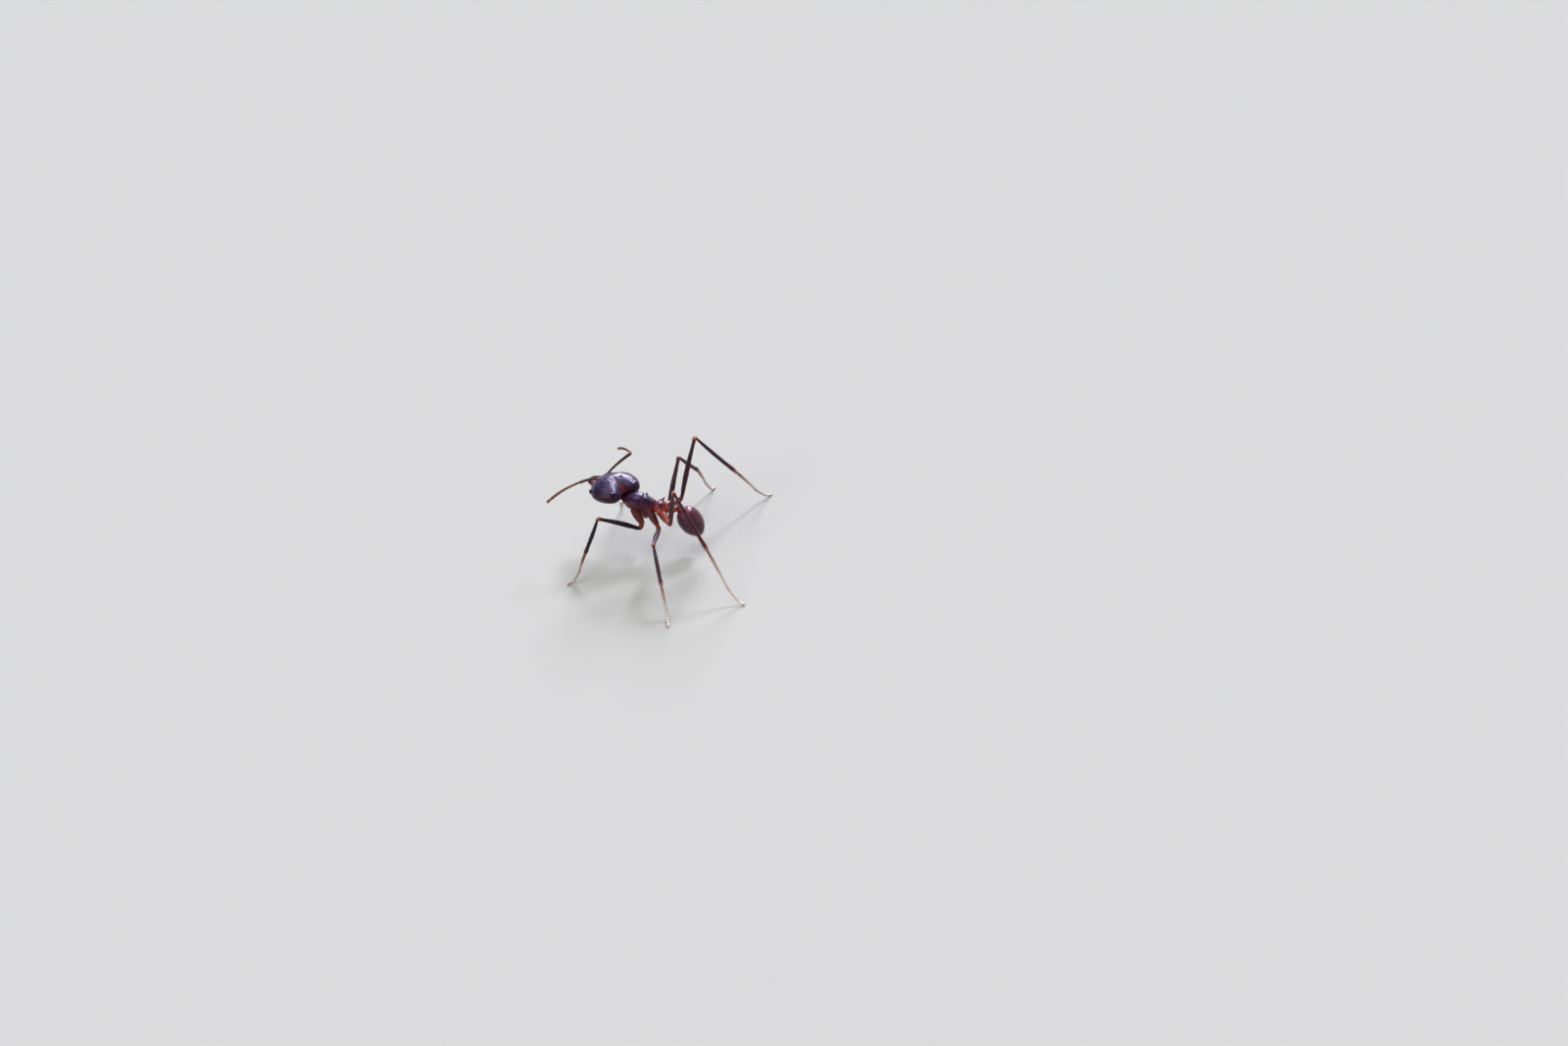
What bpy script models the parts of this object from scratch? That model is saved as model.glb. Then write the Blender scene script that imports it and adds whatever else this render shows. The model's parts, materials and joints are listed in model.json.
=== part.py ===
"""A leafcutter ant, genus Atta: a large worker that stands on the ground, head turned to its right.

The ant faces -Y, its left side is +X, and the floor is z = 0. Sizes are in millimetres and turn
into metres when a mesh is made. Legs and feelers are about 0.5 mm thick, a little more than in
life. Neighbouring pieces are parted by a thin cut instead of touching.
"""
import math

import bmesh
import bpy
from mathutils import Matrix, Vector

MM = 0.001                  # one millimetre, in metres
CUT = 0.03                  # width of the thin cut between two pieces
SIDES = {"left": 1.0, "right": -1.0}

# Where the trunk stands over the floor. PLACE centres the whole ant, legs spread, on the origin.
PLACE = Vector((-0.832, -0.344, 0.0))
TRUNK_CENTRE = Vector((0.0, -0.25, 4.50))
TRUNK_PITCH = 14.0          # degrees, front end up
TRUNK_LENGTH = 3.45

# Sections of the trunk: distance from its front end, half width, half height, height of the middle.
TRUNK_SECTIONS = (
    (0.00, 0.36, 0.36, -0.12),      # neck
    (0.35, 0.60, 0.62, -0.06),
    (0.90, 0.74, 0.74, 0.05),       # widest part of the pronotum
    (1.50, 0.62, 0.68, 0.08),       # top of the mesonotum
    (2.05, 0.50, 0.58, -0.02),
    (2.40, 0.46, 0.52, -0.08),      # groove before the propodeum
    (2.85, 0.50, 0.56, -0.04),
    (3.25, 0.36, 0.42, -0.14),
    (3.45, 0.22, 0.22, -0.22),      # socket of the waist
)
PRONOTUM_END = 1.28         # first parting cut, from the front end
MESONOTUM_END = 2.36        # second parting cut

# Spines on the trunk: distance from the front, half spacing, length, lean towards the rear.
SPINES = {
    "shoulder": (0.72, 0.46, 0.42, -10.0),
    "back": (1.55, 0.26, 0.30, 5.0),
    "rear": (2.82, 0.28, 0.44, 28.0),
}
SPINE_BASE = 0.13           # radius where a spine grows from the plate
SPINE_TIP = 0.035
SPINE_SINK = 0.86           # how far out a spine starts, against the plate's surface there
SPINE_SPLAY = 28.0          # degrees outwards

# Head, a heart seen from above, in its own frame: left, back, up.
HEAD_WIDTH = 3.95
HEAD_LENGTH = 4.00
HEAD_HEIGHT = 2.00
HEAD_YAW = 35.0             # degrees, turned to the ant's right
HEAD_PITCH = -1.5           # degrees, jaws down
HEAD_ROLL = 6.0             # degrees, left cheek up
NECK_BACK = 0.375           # from the trunk's front end to the head's centre, in head lengths
NECK_DROP = 0.345           # and down from that centre, in head heights
NECK_RADIUS = 0.25

HEAD_TAPER = 0.40           # how much narrower it is at the jaws
HEAD_FLARE = 0.06           # and how much wider at the rear lobes
LOBE_REACH = 0.18           # how far the rear lobes go back beyond the plain ball
CLEFT_WIDTH = 0.42          # the cleft between the lobes: half width and depth, in half sizes
CLEFT_DEPTH = 0.46
CLEFT_SINK = 0.40           # how much lower the crown is in the cleft
FACE_SLOPE = 0.30           # how much flatter the head is at the jaws
FACE_DROP = 0.10            # and how much lower, in head heights

# Places on the head are directions from its centre: left, back, up.
EYE_RADIUS = 0.23
EYE_BULGE = 0.62            # how deep the lens is, against its radius
EYE_DIRECTION = Vector((0.93, -0.30, 0.14))
EYE_OUTWARD = Vector((1.0, -0.25, 0.10))

JAW_DIRECTION = Vector((0.30, -0.95, -0.02))
JAW_LENGTH = 1.45
JAW_WIDTH = 0.62            # from the midline to the outer edge at its base
JAW_TIP_WIDTH = 0.12        # the same at its tip
JAW_BOW = 0.12              # how far the outer edge bulges
JAW_GAP = 0.30              # half the gap between the jaws at their base, and at the teeth
JAW_TEETH_GAP = 0.08
JAW_TEETH = 5
TOOTH_DEPTH = 0.03
JAW_THICKNESS = (0.25, 0.08)        # half height at the base and at the tip
JAW_SINK = 0.35             # how deep in the head it starts

SCAPE_DIRECTION = Vector((0.24, -0.72, 0.65))
SCAPE_ROOT = 0.93           # how deep a feeler starts, against the surface there
SCAPE_LENGTH = 2.75
FEELER_LENGTH = 3.70
FEELER_RADIUS = 0.25
SCAPE_RADII = (0.20, FEELER_RADIUS, 0.24)       # at its root, its middle and its tip
REST_RADII = (0.22, FEELER_RADIUS, 0.17)
# Each feeler: direction of the scape and of the rest, in the head's frame.
FEELERS = {
    "left": (Vector((2.40, 0.85, 1.05)), Vector((1.50, -2.65, -2.05))),
    "right": (Vector((-2.35, 0.55, 1.25)), Vector((-1.00, -3.00, -1.10))),
}

# Waist and gaster, in the plane of symmetry: back and up, from the trunk's rear end.
PETIOLE_STEP = Vector((0.0, 0.62, 0.10))
POSTPETIOLE_STEP = Vector((0.0, 0.50, 0.04))
PETIOLE_RADII = (0.22, 0.36, 0.26)
POSTPETIOLE_RADII = (0.26, 0.42, 0.26)
GASTER_DROOP = 64.0         # degrees below level
GASTER_LENGTH = 2.66
GASTER_SECTIONS = (         # distance from its front, half width, half height
    (0.00, 0.24, 0.24),
    (0.20, 0.60, 0.56),
    (0.58, 0.88, 0.82),
    (1.14, 1.00, 0.94),
    (1.70, 0.92, 0.88),
    (2.18, 0.68, 0.66),
    (2.48, 0.42, 0.41),
    (2.66, 0.14, 0.14),
)
GASTER_CUTS = (1.68, 2.06, 2.37)    # ends of the first three gaster rings

# Legs: lengths of coxa, trochanter, femur, tibia, first tarsal joint and the rest of the tarsus.
LEG_LENGTHS = {
    "front": (1.46, 0.45, 3.75, 3.05, 1.73, 1.25),
    "middle": (1.48, 0.45, 4.25, 3.43, 2.16, 1.41),
    "hind": (1.58, 0.45, 5.15, 5.15, 3.50, 1.71),
}
COXA_BASES = {              # side, back and height of the middle of each hip, inside the trunk
    "front": Vector((0.34, -1.30, 4.30)),
    "middle": Vector((0.28, -0.12, 4.10)),
    "hind": Vector((0.22, 0.75, 3.98)),
}
COXA_RADII = {"front": 0.38, "middle": 0.33, "hind": 0.35}
# Stance: azimuth from straight ahead towards the leg's own side, and rise above level, in degrees,
# of coxa, femur, tibia and first tarsal joint; then the azimuth of the rest of the tarsus.
STANCE = {
    ("left", "front"): ((158, -68), (35, 35), (38, -58), (39, -60), 26),
    ("left", "middle"): ((135, -43), (103, 18), (111, -33), (111, -63), 108),
    ("left", "hind"): ((131, -15), (129, 59), (143, -53), (142, -56), 157),
    ("right", "front"): ((156, -70), (52, 30), (54, -52), (54, -58), 54),
    ("right", "middle"): ((136, -44), (97, 38), (102, -51), (102, -67), 101),
    ("right", "hind"): ((130, -10), (136, 65), (138, -59), (117, -59), 123),
}
LEG_RADIUS = 0.25           # tibia and tarsus
THIGH_RADIUS = 0.29         # thickest part of the femur
KNEE_RADIUS = 0.26
TOE_LENGTH = 0.38           # last joint of the tarsus, level on the floor
TOE_HEIGHT = 0.15           # height of its middle, so that the floor cuts a small flat
TOE_RADIUS = 0.21
TROCHANTER_RADII = (0.25, 0.26, 0.25)
LEG_SIDES = 10
BEND_CLEARANCE = 0.10       # from a joint's bevel to the first plain ring
BEND_STRETCH = 1.15         # most that a bevelled ring may be longer than its radius

COLOURS = {
    "shell_dark": (0.055, 0.012, 0.012),
    "shell_red": (0.16, 0.028, 0.015),
    "leg_brown": (0.07, 0.022, 0.014),
    "leg_pale": (0.42, 0.22, 0.13),
    "eye_black": (0.01, 0.008, 0.010),
}


def clear_scene():
    """Take out whatever the file starts with."""
    for item in list(bpy.data.objects):
        bpy.data.objects.remove(item, do_unlink=True)


def make_material(name, colour):
    """A smooth, hard shell of one colour."""
    material = bpy.data.materials.new(name)
    material.use_nodes = True
    shader = material.node_tree.nodes["Principled BSDF"]
    shader.inputs["Base Color"].default_value = (*colour, 1.0)
    shader.inputs["Roughness"].default_value = 0.35
    shader.inputs["Metallic"].default_value = 0.0
    return material


def add_object(name, bm, material, origin=Vector()):
    """Turn a millimetre bmesh into an object in metres whose origin is at the given point."""
    bmesh.ops.recalc_face_normals(bm, faces=bm.faces)
    bmesh.ops.transform(bm, matrix=Matrix.Translation(-origin), verts=bm.verts)
    bmesh.ops.scale(bm, vec=(MM, MM, MM), verts=bm.verts)
    mesh = bpy.data.meshes.new(name)
    bm.to_mesh(mesh)
    bm.free()
    mesh.shade_smooth()
    mesh.set_sharp_from_angle(angle=math.radians(40))
    mesh.materials.append(material)
    piece = bpy.data.objects.new(name, mesh)
    piece.location = origin * MM
    bpy.context.scene.collection.objects.link(piece)
    return piece


def subtract(piece, cutter):
    """Cut one piece to fit its neighbour and keep the cutter out of the build."""
    cut = piece.modifiers.new("cut_by_" + cutter.name, "BOOLEAN")
    cut.operation = "DIFFERENCE"
    cut.solver = "EXACT"
    cut.object = cutter
    cutter.hide_render = True
    cutter.display_type = "WIRE"


def compass(azimuth, rise, side):
    """Unit direction from degrees: azimuth 0 is straight ahead, 90 is out to the side."""
    azimuth, rise = math.radians(azimuth), math.radians(rise)
    level = math.cos(rise)
    return Vector((side * math.sin(azimuth) * level, -math.cos(azimuth) * level, math.sin(rise)))


def through(sections, place):
    """Smooth values at a place along sections that start with their own places."""
    last = len(sections) - 2
    index = max(k for k in range(last + 1) if sections[k][0] <= place or k == 0)
    row = [sections[min(max(k, 0), last + 1)] for k in range(index - 1, index + 3)]
    t = (place - row[1][0]) / (row[2][0] - row[1][0])
    values = []
    for a, b, c, d in zip(*(r[1:] for r in row)):
        values.append(0.5 * (2 * b + (c - a) * t + (2 * a - 5 * b + 4 * c - d) * t ** 2
                             + (3 * b - a - 3 * c + d) * t ** 3))
    return values


def ellipse(centre, across, up, half_width, half_height, count):
    """Points of an ellipse, anticlockwise from `across` towards `up`."""
    turns = [2 * math.pi * k / count for k in range(count)]
    return [centre + across * half_width * math.cos(a) + up * half_height * math.sin(a)
            for a in turns]


def loft(rings):
    """Closed mesh through rings of equal count, with a flat face on each end."""
    bm = bmesh.new()
    rows = [[bm.verts.new(point) for point in ring] for ring in rings]
    count = len(rows[0])
    for low, high in zip(rows, rows[1:]):
        for k in range(count):
            after = (k + 1) % count
            bm.faces.new((low[k], low[after], high[after], high[k]))
    bm.faces.new(reversed(rows[0]))
    bm.faces.new(rows[-1])
    return bm


def slice_off(bm, point, normal):
    """Remove what lies beyond a plane and close the cut with a flat face."""
    everything = bm.verts[:] + bm.edges[:] + bm.faces[:]
    cut = bmesh.ops.bisect_plane(bm, geom=everything, dist=1e-6, plane_co=point,
                                 plane_no=normal, clear_outer=True)
    rim = [item for item in cut["geom_cut"] if isinstance(item, bmesh.types.BMEdge)]
    bmesh.ops.edgeloop_fill(bm, edges=rim)


def inflate(bm, distance):
    """Push a closed mesh out along its normals."""
    bmesh.ops.recalc_face_normals(bm, faces=bm.faces)
    bm.normal_update()
    moved = [(v, v.co + v.normal * distance) for v in bm.verts]
    for vertex, place in moved:
        vertex.co = place


# ---- trunk -------------------------------------------------------------------------------------

def trunk_frame():
    """Directions of the trunk: across, up and towards the rear."""
    pitch = math.radians(TRUNK_PITCH)
    rear = Vector((0.0, math.cos(pitch), -math.sin(pitch)))
    up = Vector((0.0, math.sin(pitch), math.cos(pitch)))
    return Vector((1.0, 0.0, 0.0)), up, rear


def trunk_point(distance, side=0.0, height=0.0):
    """A place on the trunk from its front end, in the ant's own frame."""
    across, up, rear = trunk_frame()
    return (PLACE + TRUNK_CENTRE + rear * (distance - TRUNK_LENGTH / 2)
            + across * side + up * height)


def trunk_mesh(rows=19, count=20):
    """The whole trunk before it is parted."""
    across, up, _ = trunk_frame()
    rings = []
    for k in range(rows):
        place = TRUNK_LENGTH * k / (rows - 1)
        half_width, half_height, middle = through(TRUNK_SECTIONS, place)
        centre = trunk_point(place, 0.0, middle)
        rings.append(ellipse(centre, across, up, half_width, half_height, count))
    return loft(rings)


def spine_objects(material):
    """Three pairs of cones that stand out of the trunk's plates, as tools for a union."""
    across, up, rear = trunk_frame()
    tools = []
    for name, (place, spacing, length, lean) in SPINES.items():
        half_width, half_height, middle = through(TRUNK_SECTIONS, place)
        for side_name, side in SIDES.items():
            rise = math.sqrt(1 - (spacing / half_width) ** 2) * half_height
            foot = trunk_point(place, side * spacing, middle + rise * SPINE_SINK)
            splay, tilt = math.radians(SPINE_SPLAY), math.radians(lean)
            axis = (up * math.cos(splay) * math.cos(tilt) + across * side * math.sin(splay)
                    + rear * math.sin(tilt)).normalized()
            turn = Vector((0, 0, 1)).rotation_difference(axis).to_matrix().to_4x4()
            bm = bmesh.new()
            bmesh.ops.create_cone(bm, cap_ends=True, segments=8, radius1=SPINE_BASE,
                                  radius2=SPINE_TIP, depth=length,
                                  matrix=Matrix.Translation(foot + axis * length / 2) @ turn)
            tool = add_object("tool_spine_%s_%s" % (name, side_name), bm, material)
            tool.hide_render = True
            tool.display_type = "WIRE"
            tools.append((place, tool))
    return tools


def build_trunk(materials):
    """Pronotum, mesonotum and propodeum: one form, parted by two thin cuts. Returns the first."""
    _, _, rear = trunk_frame()
    ends = {
        "pronotum": (None, PRONOTUM_END),
        "mesonotum": (PRONOTUM_END, MESONOTUM_END),
        "propodeum": (MESONOTUM_END, None),
    }
    tools = spine_objects(materials["shell_red"])
    pieces = {}
    for name, (start, stop) in ends.items():
        bm = trunk_mesh()
        if start is not None:
            slice_off(bm, trunk_point(start + CUT / 2), -rear)
        if stop is not None:
            slice_off(bm, trunk_point(stop - CUT / 2), rear)
        piece = add_object(name, bm, materials["shell_red"], trunk_point(0.0))
        for place, tool in tools:
            if (start or 0.0) <= place < (stop or TRUNK_LENGTH):
                join = piece.modifiers.new("grow_" + tool.name, "BOOLEAN")
                join.operation = "UNION"
                join.solver = "EXACT"
                join.object = tool
        pieces[name] = piece
    return pieces["pronotum"]


# ---- head --------------------------------------------------------------------------------------

def head_matrix():
    """Place and turn of the head: it hangs on the neck, in front of the trunk."""
    turn = (Matrix.Rotation(math.radians(-HEAD_YAW), 4, "Z")
            @ Matrix.Rotation(math.radians(-HEAD_PITCH), 4, "X")
            @ Matrix.Rotation(math.radians(-HEAD_ROLL), 4, "Y"))
    neck = Vector((0.0, NECK_BACK * HEAD_LENGTH, -NECK_DROP * HEAD_HEIGHT))
    centre = trunk_point(0.0, 0.0, TRUNK_SECTIONS[0][3]) - turn.to_3x3() @ neck
    return Matrix.Translation(centre) @ turn


def head_shape(unit):
    """Point of the head for a point of the unit ball: left, back, up."""
    x, y, z = unit
    rear = max(0.0, y)
    front = max(0.0, -y)
    middle = math.exp(-(x / CLEFT_WIDTH) ** 2)
    width = 1.0 - HEAD_TAPER * front ** 1.3 + HEAD_FLARE * rear
    back = y * (1.0 + LOBE_REACH * rear) - CLEFT_DEPTH * middle * rear ** 1.6
    sink = CLEFT_SINK * middle * rear * (1.0 if z > 0 else 0.3)
    height = 1.0 - FACE_SLOPE * front ** 1.5 - sink
    return Vector((x * width * HEAD_WIDTH / 2,
                   back * HEAD_LENGTH / 2,
                   z * height * HEAD_HEIGHT / 2 - FACE_DROP * front * HEAD_HEIGHT))


def head_place(direction, side=1.0, depth=1.0):
    """A place on the head's surface in a direction from its centre, or part of the way there."""
    unit = (direction * Vector((side, 1, 1))).normalized()
    return head_shape(unit) * depth


def head_mesh(cuts=9):
    """The head capsule in its own frame: a cube's grid, blown up to a ball, then shaped."""
    bm = bmesh.new()
    bmesh.ops.create_cube(bm, size=2.0)
    bmesh.ops.subdivide_edges(bm, edges=bm.edges[:], cuts=cuts, use_grid_fill=True)
    for vertex in bm.verts:
        even = Vector([math.tan(value * math.pi / 4) for value in vertex.co])
        vertex.co = head_shape(even.normalized())
    return bm


def eye_mesh(side, grow):
    """A lens on the side of the head, in the head's frame."""
    place = head_place(EYE_DIRECTION, side)
    outward = (EYE_OUTWARD * Vector((side, 1, 1))).normalized()
    turn = Vector((0, 0, 1)).rotation_difference(outward).to_matrix().to_4x4()
    size = EYE_RADIUS + grow
    scale = Matrix.Diagonal((size, size, size * EYE_BULGE, 1.0))
    bm = bmesh.new()
    bmesh.ops.create_uvsphere(bm, u_segments=12, v_segments=7, radius=1.0,
                              matrix=Matrix.Translation(place) @ turn @ scale)
    return bm


def jaw_mesh(side, rows=14, count=8):
    """A curved, toothed blade in the head's frame, from inside the head to its tip."""
    base = head_place(JAW_DIRECTION, side)
    rings = []
    for k in range(rows):
        t = k / (rows - 1)
        outer = JAW_WIDTH + JAW_BOW * math.sin(math.pi * t) - (JAW_WIDTH - JAW_TIP_WIDTH) * t ** 2
        wave = math.cos(2 * math.pi * JAW_TEETH * t) if 0.2 < t < 0.95 else 0.0
        inner = JAW_GAP - (JAW_GAP - JAW_TEETH_GAP) * min(1.0, t / 0.3) + TOOTH_DEPTH * wave
        half = max(0.045, (outer - inner) / 2)
        thick = JAW_THICKNESS[0] - (JAW_THICKNESS[0] - JAW_THICKNESS[1]) * t ** 1.3
        centre = Vector((side * (inner + half), base.y + JAW_SINK - JAW_LENGTH * t,
                         base.z + 0.10 * t))
        rings.append(ellipse(centre, Vector((side, 0, 0)), Vector((0, 0, 1)), half, thick, count))
    return loft(rings)


def build_head(materials):
    """Head capsule, eyes, jaws, feelers and neck. Returns the cutter for the head's neighbours."""
    place = head_matrix()
    dark = materials["shell_dark"]
    head_bm = head_mesh()
    bmesh.ops.transform(head_bm, matrix=place, verts=head_bm.verts)
    fat_bm = head_bm.copy()
    inflate(fat_bm, CUT)
    head = add_object("head", head_bm, dark, place.translation)
    cutter = add_object("tool_head", fat_bm, dark, place.translation)
    front = trunk_point(0.0, 0.0, TRUNK_SECTIONS[0][3])
    neck = limb_piece("neck", place @ Vector((0.0, 0.2, -0.3)), front, None,
                      trunk_frame()[2], (NECK_RADIUS, NECK_RADIUS, NECK_RADIUS),
                      materials["shell_red"])
    subtract(neck, cutter)
    for side_name, side in SIDES.items():
        eyes = {}
        for name, grow in (("eye_", 0.0), ("tool_eye_", CUT)):
            bm = eye_mesh(side, grow)
            bmesh.ops.transform(bm, matrix=place, verts=bm.verts)
            eyes[name] = add_object(name + side_name, bm, materials["eye_black"],
                                    place @ head_place(EYE_DIRECTION, side))
        subtract(head, eyes["tool_eye_"])

        jaw_bm = jaw_mesh(side)
        bmesh.ops.transform(jaw_bm, matrix=place, verts=jaw_bm.verts)
        jaw = add_object("mandible_" + side_name, jaw_bm, materials["shell_red"],
                         place @ head_place(JAW_DIRECTION, side))
        subtract(jaw, cutter)

        scape_run, rest_run = FEELERS[side_name]
        base = head_place(SCAPE_DIRECTION, side, SCAPE_ROOT)
        elbow = base + scape_run.normalized() * SCAPE_LENGTH
        tip = elbow + rest_run.normalized() * FEELER_LENGTH
        points = [place @ p for p in (base, elbow, tip)]
        scape = limb_piece("scape_" + side_name, points[0], points[1], None,
                           points[2] - points[1], SCAPE_RADII, materials["leg_brown"])
        subtract(scape, cutter)
        limb_piece("funiculus_" + side_name, points[1], points[2], points[1] - points[0], None,
                   REST_RADII, materials["leg_brown"])
    return cutter


# ---- limbs -------------------------------------------------------------------------------------

def limb_rings(start, end, before, after, radii, count=LEG_SIDES):
    """Straight tapered piece between two joints; each end lies in its joint's middle plane."""
    axis = (end - start).normalized()
    length = (end - start).length
    guide = axis.cross(Vector((0, 0, 1)))
    guide.normalize()
    base_radius, mid_radius, tip_radius = radii

    def joint_ring(point, neighbour, radius, inwards):
        normal = (axis + neighbour.normalized()).normalized() if neighbour else axis
        half_turn = axis.angle(normal)
        fold = axis - neighbour.normalized() if neighbour else Vector()
        across = (guide - normal * guide.dot(normal)).normalized()
        centre = point + normal * (CUT / 2) * inwards
        ring = ellipse(centre, across, normal.cross(across), radius, radius, count)
        if fold.length > 0.05:
            fold.normalize()
            stretch = min(1 / math.cos(half_turn), BEND_STRETCH) - 1
            ring = [p + fold * (p - centre).dot(fold) * stretch for p in ring]
        return ring, radius * math.tan(half_turn) + BEND_CLEARANCE

    first, clear_start = joint_ring(start, before, base_radius, 1)
    last, clear_end = joint_ring(end, after, tip_radius, -1)
    rings = [first]
    steps = 4 if length > clear_start + clear_end + 0.2 else -1
    for k in range(steps + 1):
        t = k / steps
        place = clear_start + (length - clear_start - clear_end) * t
        radius = through(((0.0, base_radius), (0.42, mid_radius), (1.0, tip_radius)), t)[0]
        rings.append(ellipse(start + axis * place, guide, axis.cross(guide), radius, radius,
                             count))
    rings.append(last)
    return rings


def limb_piece(name, start, end, before, after, radii, material):
    """A limb's straight piece as an object with its origin at its first joint."""
    bm = loft(limb_rings(start, end, before, after, radii))
    return add_object(name, bm, material, start)


def foot_mesh(start, knuckle, before, toe, radii):
    """Last piece of a leg: down to the knuckle, then level, with a small flat on the floor."""
    rings = limb_rings(start, knuckle, before, toe, radii)
    across = toe.cross(Vector((0, 0, 1))).normalized()
    rings.append(ellipse(knuckle + toe, across, toe.normalized().cross(across), TOE_RADIUS,
                         TOE_RADIUS, LEG_SIDES))
    bm = loft(rings)
    slice_off(bm, Vector(), Vector((0, 0, -1)))
    return bm


def leg_joints(side_name, which):
    """Hip, ends of coxa and trochanter, knee, ends of tibia and first tarsal joint, knuckle, tip."""
    side = SIDES[side_name]
    coxa, trochanter, femur, tibia, first, rest = LEG_LENGTHS[which]
    coxa_turn, femur_turn, tibia_turn, first_turn, rest_azimuth = STANCE[(side_name, which)]
    base = COXA_BASES[which]
    hip = PLACE + Vector((base.x * side, base.y, base.z))
    down = compass(*coxa_turn, side)
    thigh = compass(*femur_turn, side)
    points = [hip, hip + down * coxa]
    points.append(points[-1] + (down + thigh).normalized() * trochanter)
    points.append(points[-1] + thigh * femur)
    points.append(points[-1] + compass(*tibia_turn, side) * tibia)
    points.append(points[-1] + compass(*first_turn, side) * first)
    rest -= TOE_LENGTH
    fall = math.degrees(math.asin((TOE_HEIGHT - points[-1].z) / rest))
    points.append(points[-1] + compass(rest_azimuth, fall, side) * rest)
    points.append(points[-1] + compass(rest_azimuth, 0, side) * TOE_LENGTH)
    return points


def build_legs(materials, trunk_cutter):
    """Six legs of six pieces each."""
    for side_name, which in STANCE:
        points = leg_joints(side_name, which)
        runs = [b - a for a, b in zip(points, points[1:])]
        radii = {
            "coxa": (COXA_RADII[which], COXA_RADII[which], LEG_RADIUS),
            "trochanter": TROCHANTER_RADII,
            "femur": (LEG_RADIUS, THIGH_RADIUS, KNEE_RADIUS),
            "tibia": (KNEE_RADIUS, KNEE_RADIUS, LEG_RADIUS),
            "tarsus": (LEG_RADIUS, LEG_RADIUS, LEG_RADIUS),
            "foot": (LEG_RADIUS, LEG_RADIUS, TOE_RADIUS),
        }
        shades = ["shell_red", "shell_red", "leg_brown", "leg_brown", "leg_pale", "leg_pale"]
        for k, (part, sizes) in enumerate(radii.items()):
            before = runs[k - 1] if k else None
            name = "_".join((part, side_name, which))
            if part == "foot":
                bm = foot_mesh(points[k], points[k + 1], before, runs[k + 1], sizes)
                add_object(name, bm, materials[shades[k]], points[k])
                continue
            piece = limb_piece(name, points[k], points[k + 1], before, runs[k + 1], sizes,
                               materials[shades[k]])
            if part == "coxa":
                subtract(piece, trunk_cutter)


# ---- waist and gaster --------------------------------------------------------------------------

def build_rear(materials):
    """Petiole, postpetiole and the gaster's rings."""
    start = trunk_point(TRUNK_LENGTH, 0.0, TRUNK_SECTIONS[-1][3])
    waist = start + PETIOLE_STEP
    hinge = waist + POSTPETIOLE_STEP
    droop = math.radians(GASTER_DROOP)
    axis = Vector((0, math.cos(droop), -math.sin(droop)))
    _, _, rear = trunk_frame()
    limb_piece("petiole", start, waist, rear, POSTPETIOLE_STEP, PETIOLE_RADII,
               materials["shell_red"])
    limb_piece("postpetiole", waist, hinge, PETIOLE_STEP, axis, POSTPETIOLE_RADII,
               materials["shell_red"])
    edges = (0.0, *GASTER_CUTS, GASTER_LENGTH)
    for k, (low, high) in enumerate(zip(edges, edges[1:])):
        bm = gaster_mesh(hinge, axis, POSTPETIOLE_STEP)
        if k > 0:
            slice_off(bm, hinge + axis * (low + CUT / 2), -axis)
        if high < GASTER_LENGTH:
            slice_off(bm, hinge + axis * (high - CUT / 2), axis)
        add_object("gaster_%d" % (k + 1), bm, materials["shell_dark"], hinge + axis * low)


def gaster_mesh(hinge, axis, before, rows=15, count=24):
    """The whole gaster before it is parted into rings."""
    across = Vector((1, 0, 0))
    dorsal = across.cross(axis)
    normal = (axis + before.normalized()).normalized()
    half_width, half_height = through(GASTER_SECTIONS, 0.0)
    rings = [ellipse(hinge + normal * CUT / 2, across, across.cross(normal), half_width,
                     half_height, count)]
    for k in range(1, rows):
        place = GASTER_LENGTH * (1 - math.cos(math.pi * k / (rows - 1))) / 2
        place = min(max(place, 0.22), GASTER_LENGTH)
        half_width, half_height = through(GASTER_SECTIONS, place)
        rings.append(ellipse(hinge + axis * place, across, dorsal, half_width, half_height,
                             count))
    return loft(rings)


def main():
    clear_scene()
    materials = {name: make_material(name, colour) for name, colour in COLOURS.items()}
    pronotum = build_trunk(materials)
    subtract(pronotum, build_head(materials))
    trunk_bm = trunk_mesh()
    inflate(trunk_bm, CUT)
    trunk_cutter = add_object("tool_trunk", trunk_bm, materials["shell_red"])
    trunk_cutter.hide_render = True
    trunk_cutter.display_type = "WIRE"
    build_legs(materials, trunk_cutter)
    build_rear(materials)


main()
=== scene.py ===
# %% [markdown]
# # A leafcutter ant worker, twelve millimetres of shell and hair
# This lesson builds one worker ant of the genus Atta as a museum would show it: life size, still, and
# standing on its six legs. The solids of the ant are loaded first and stay as the measure of the
# pose. Every plate, joint, lens and hair made here lies on or in them.

# %% Load the solids
import json
import math

import bmesh
import bpy
import numpy as np
from mathutils import Matrix, Vector

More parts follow.
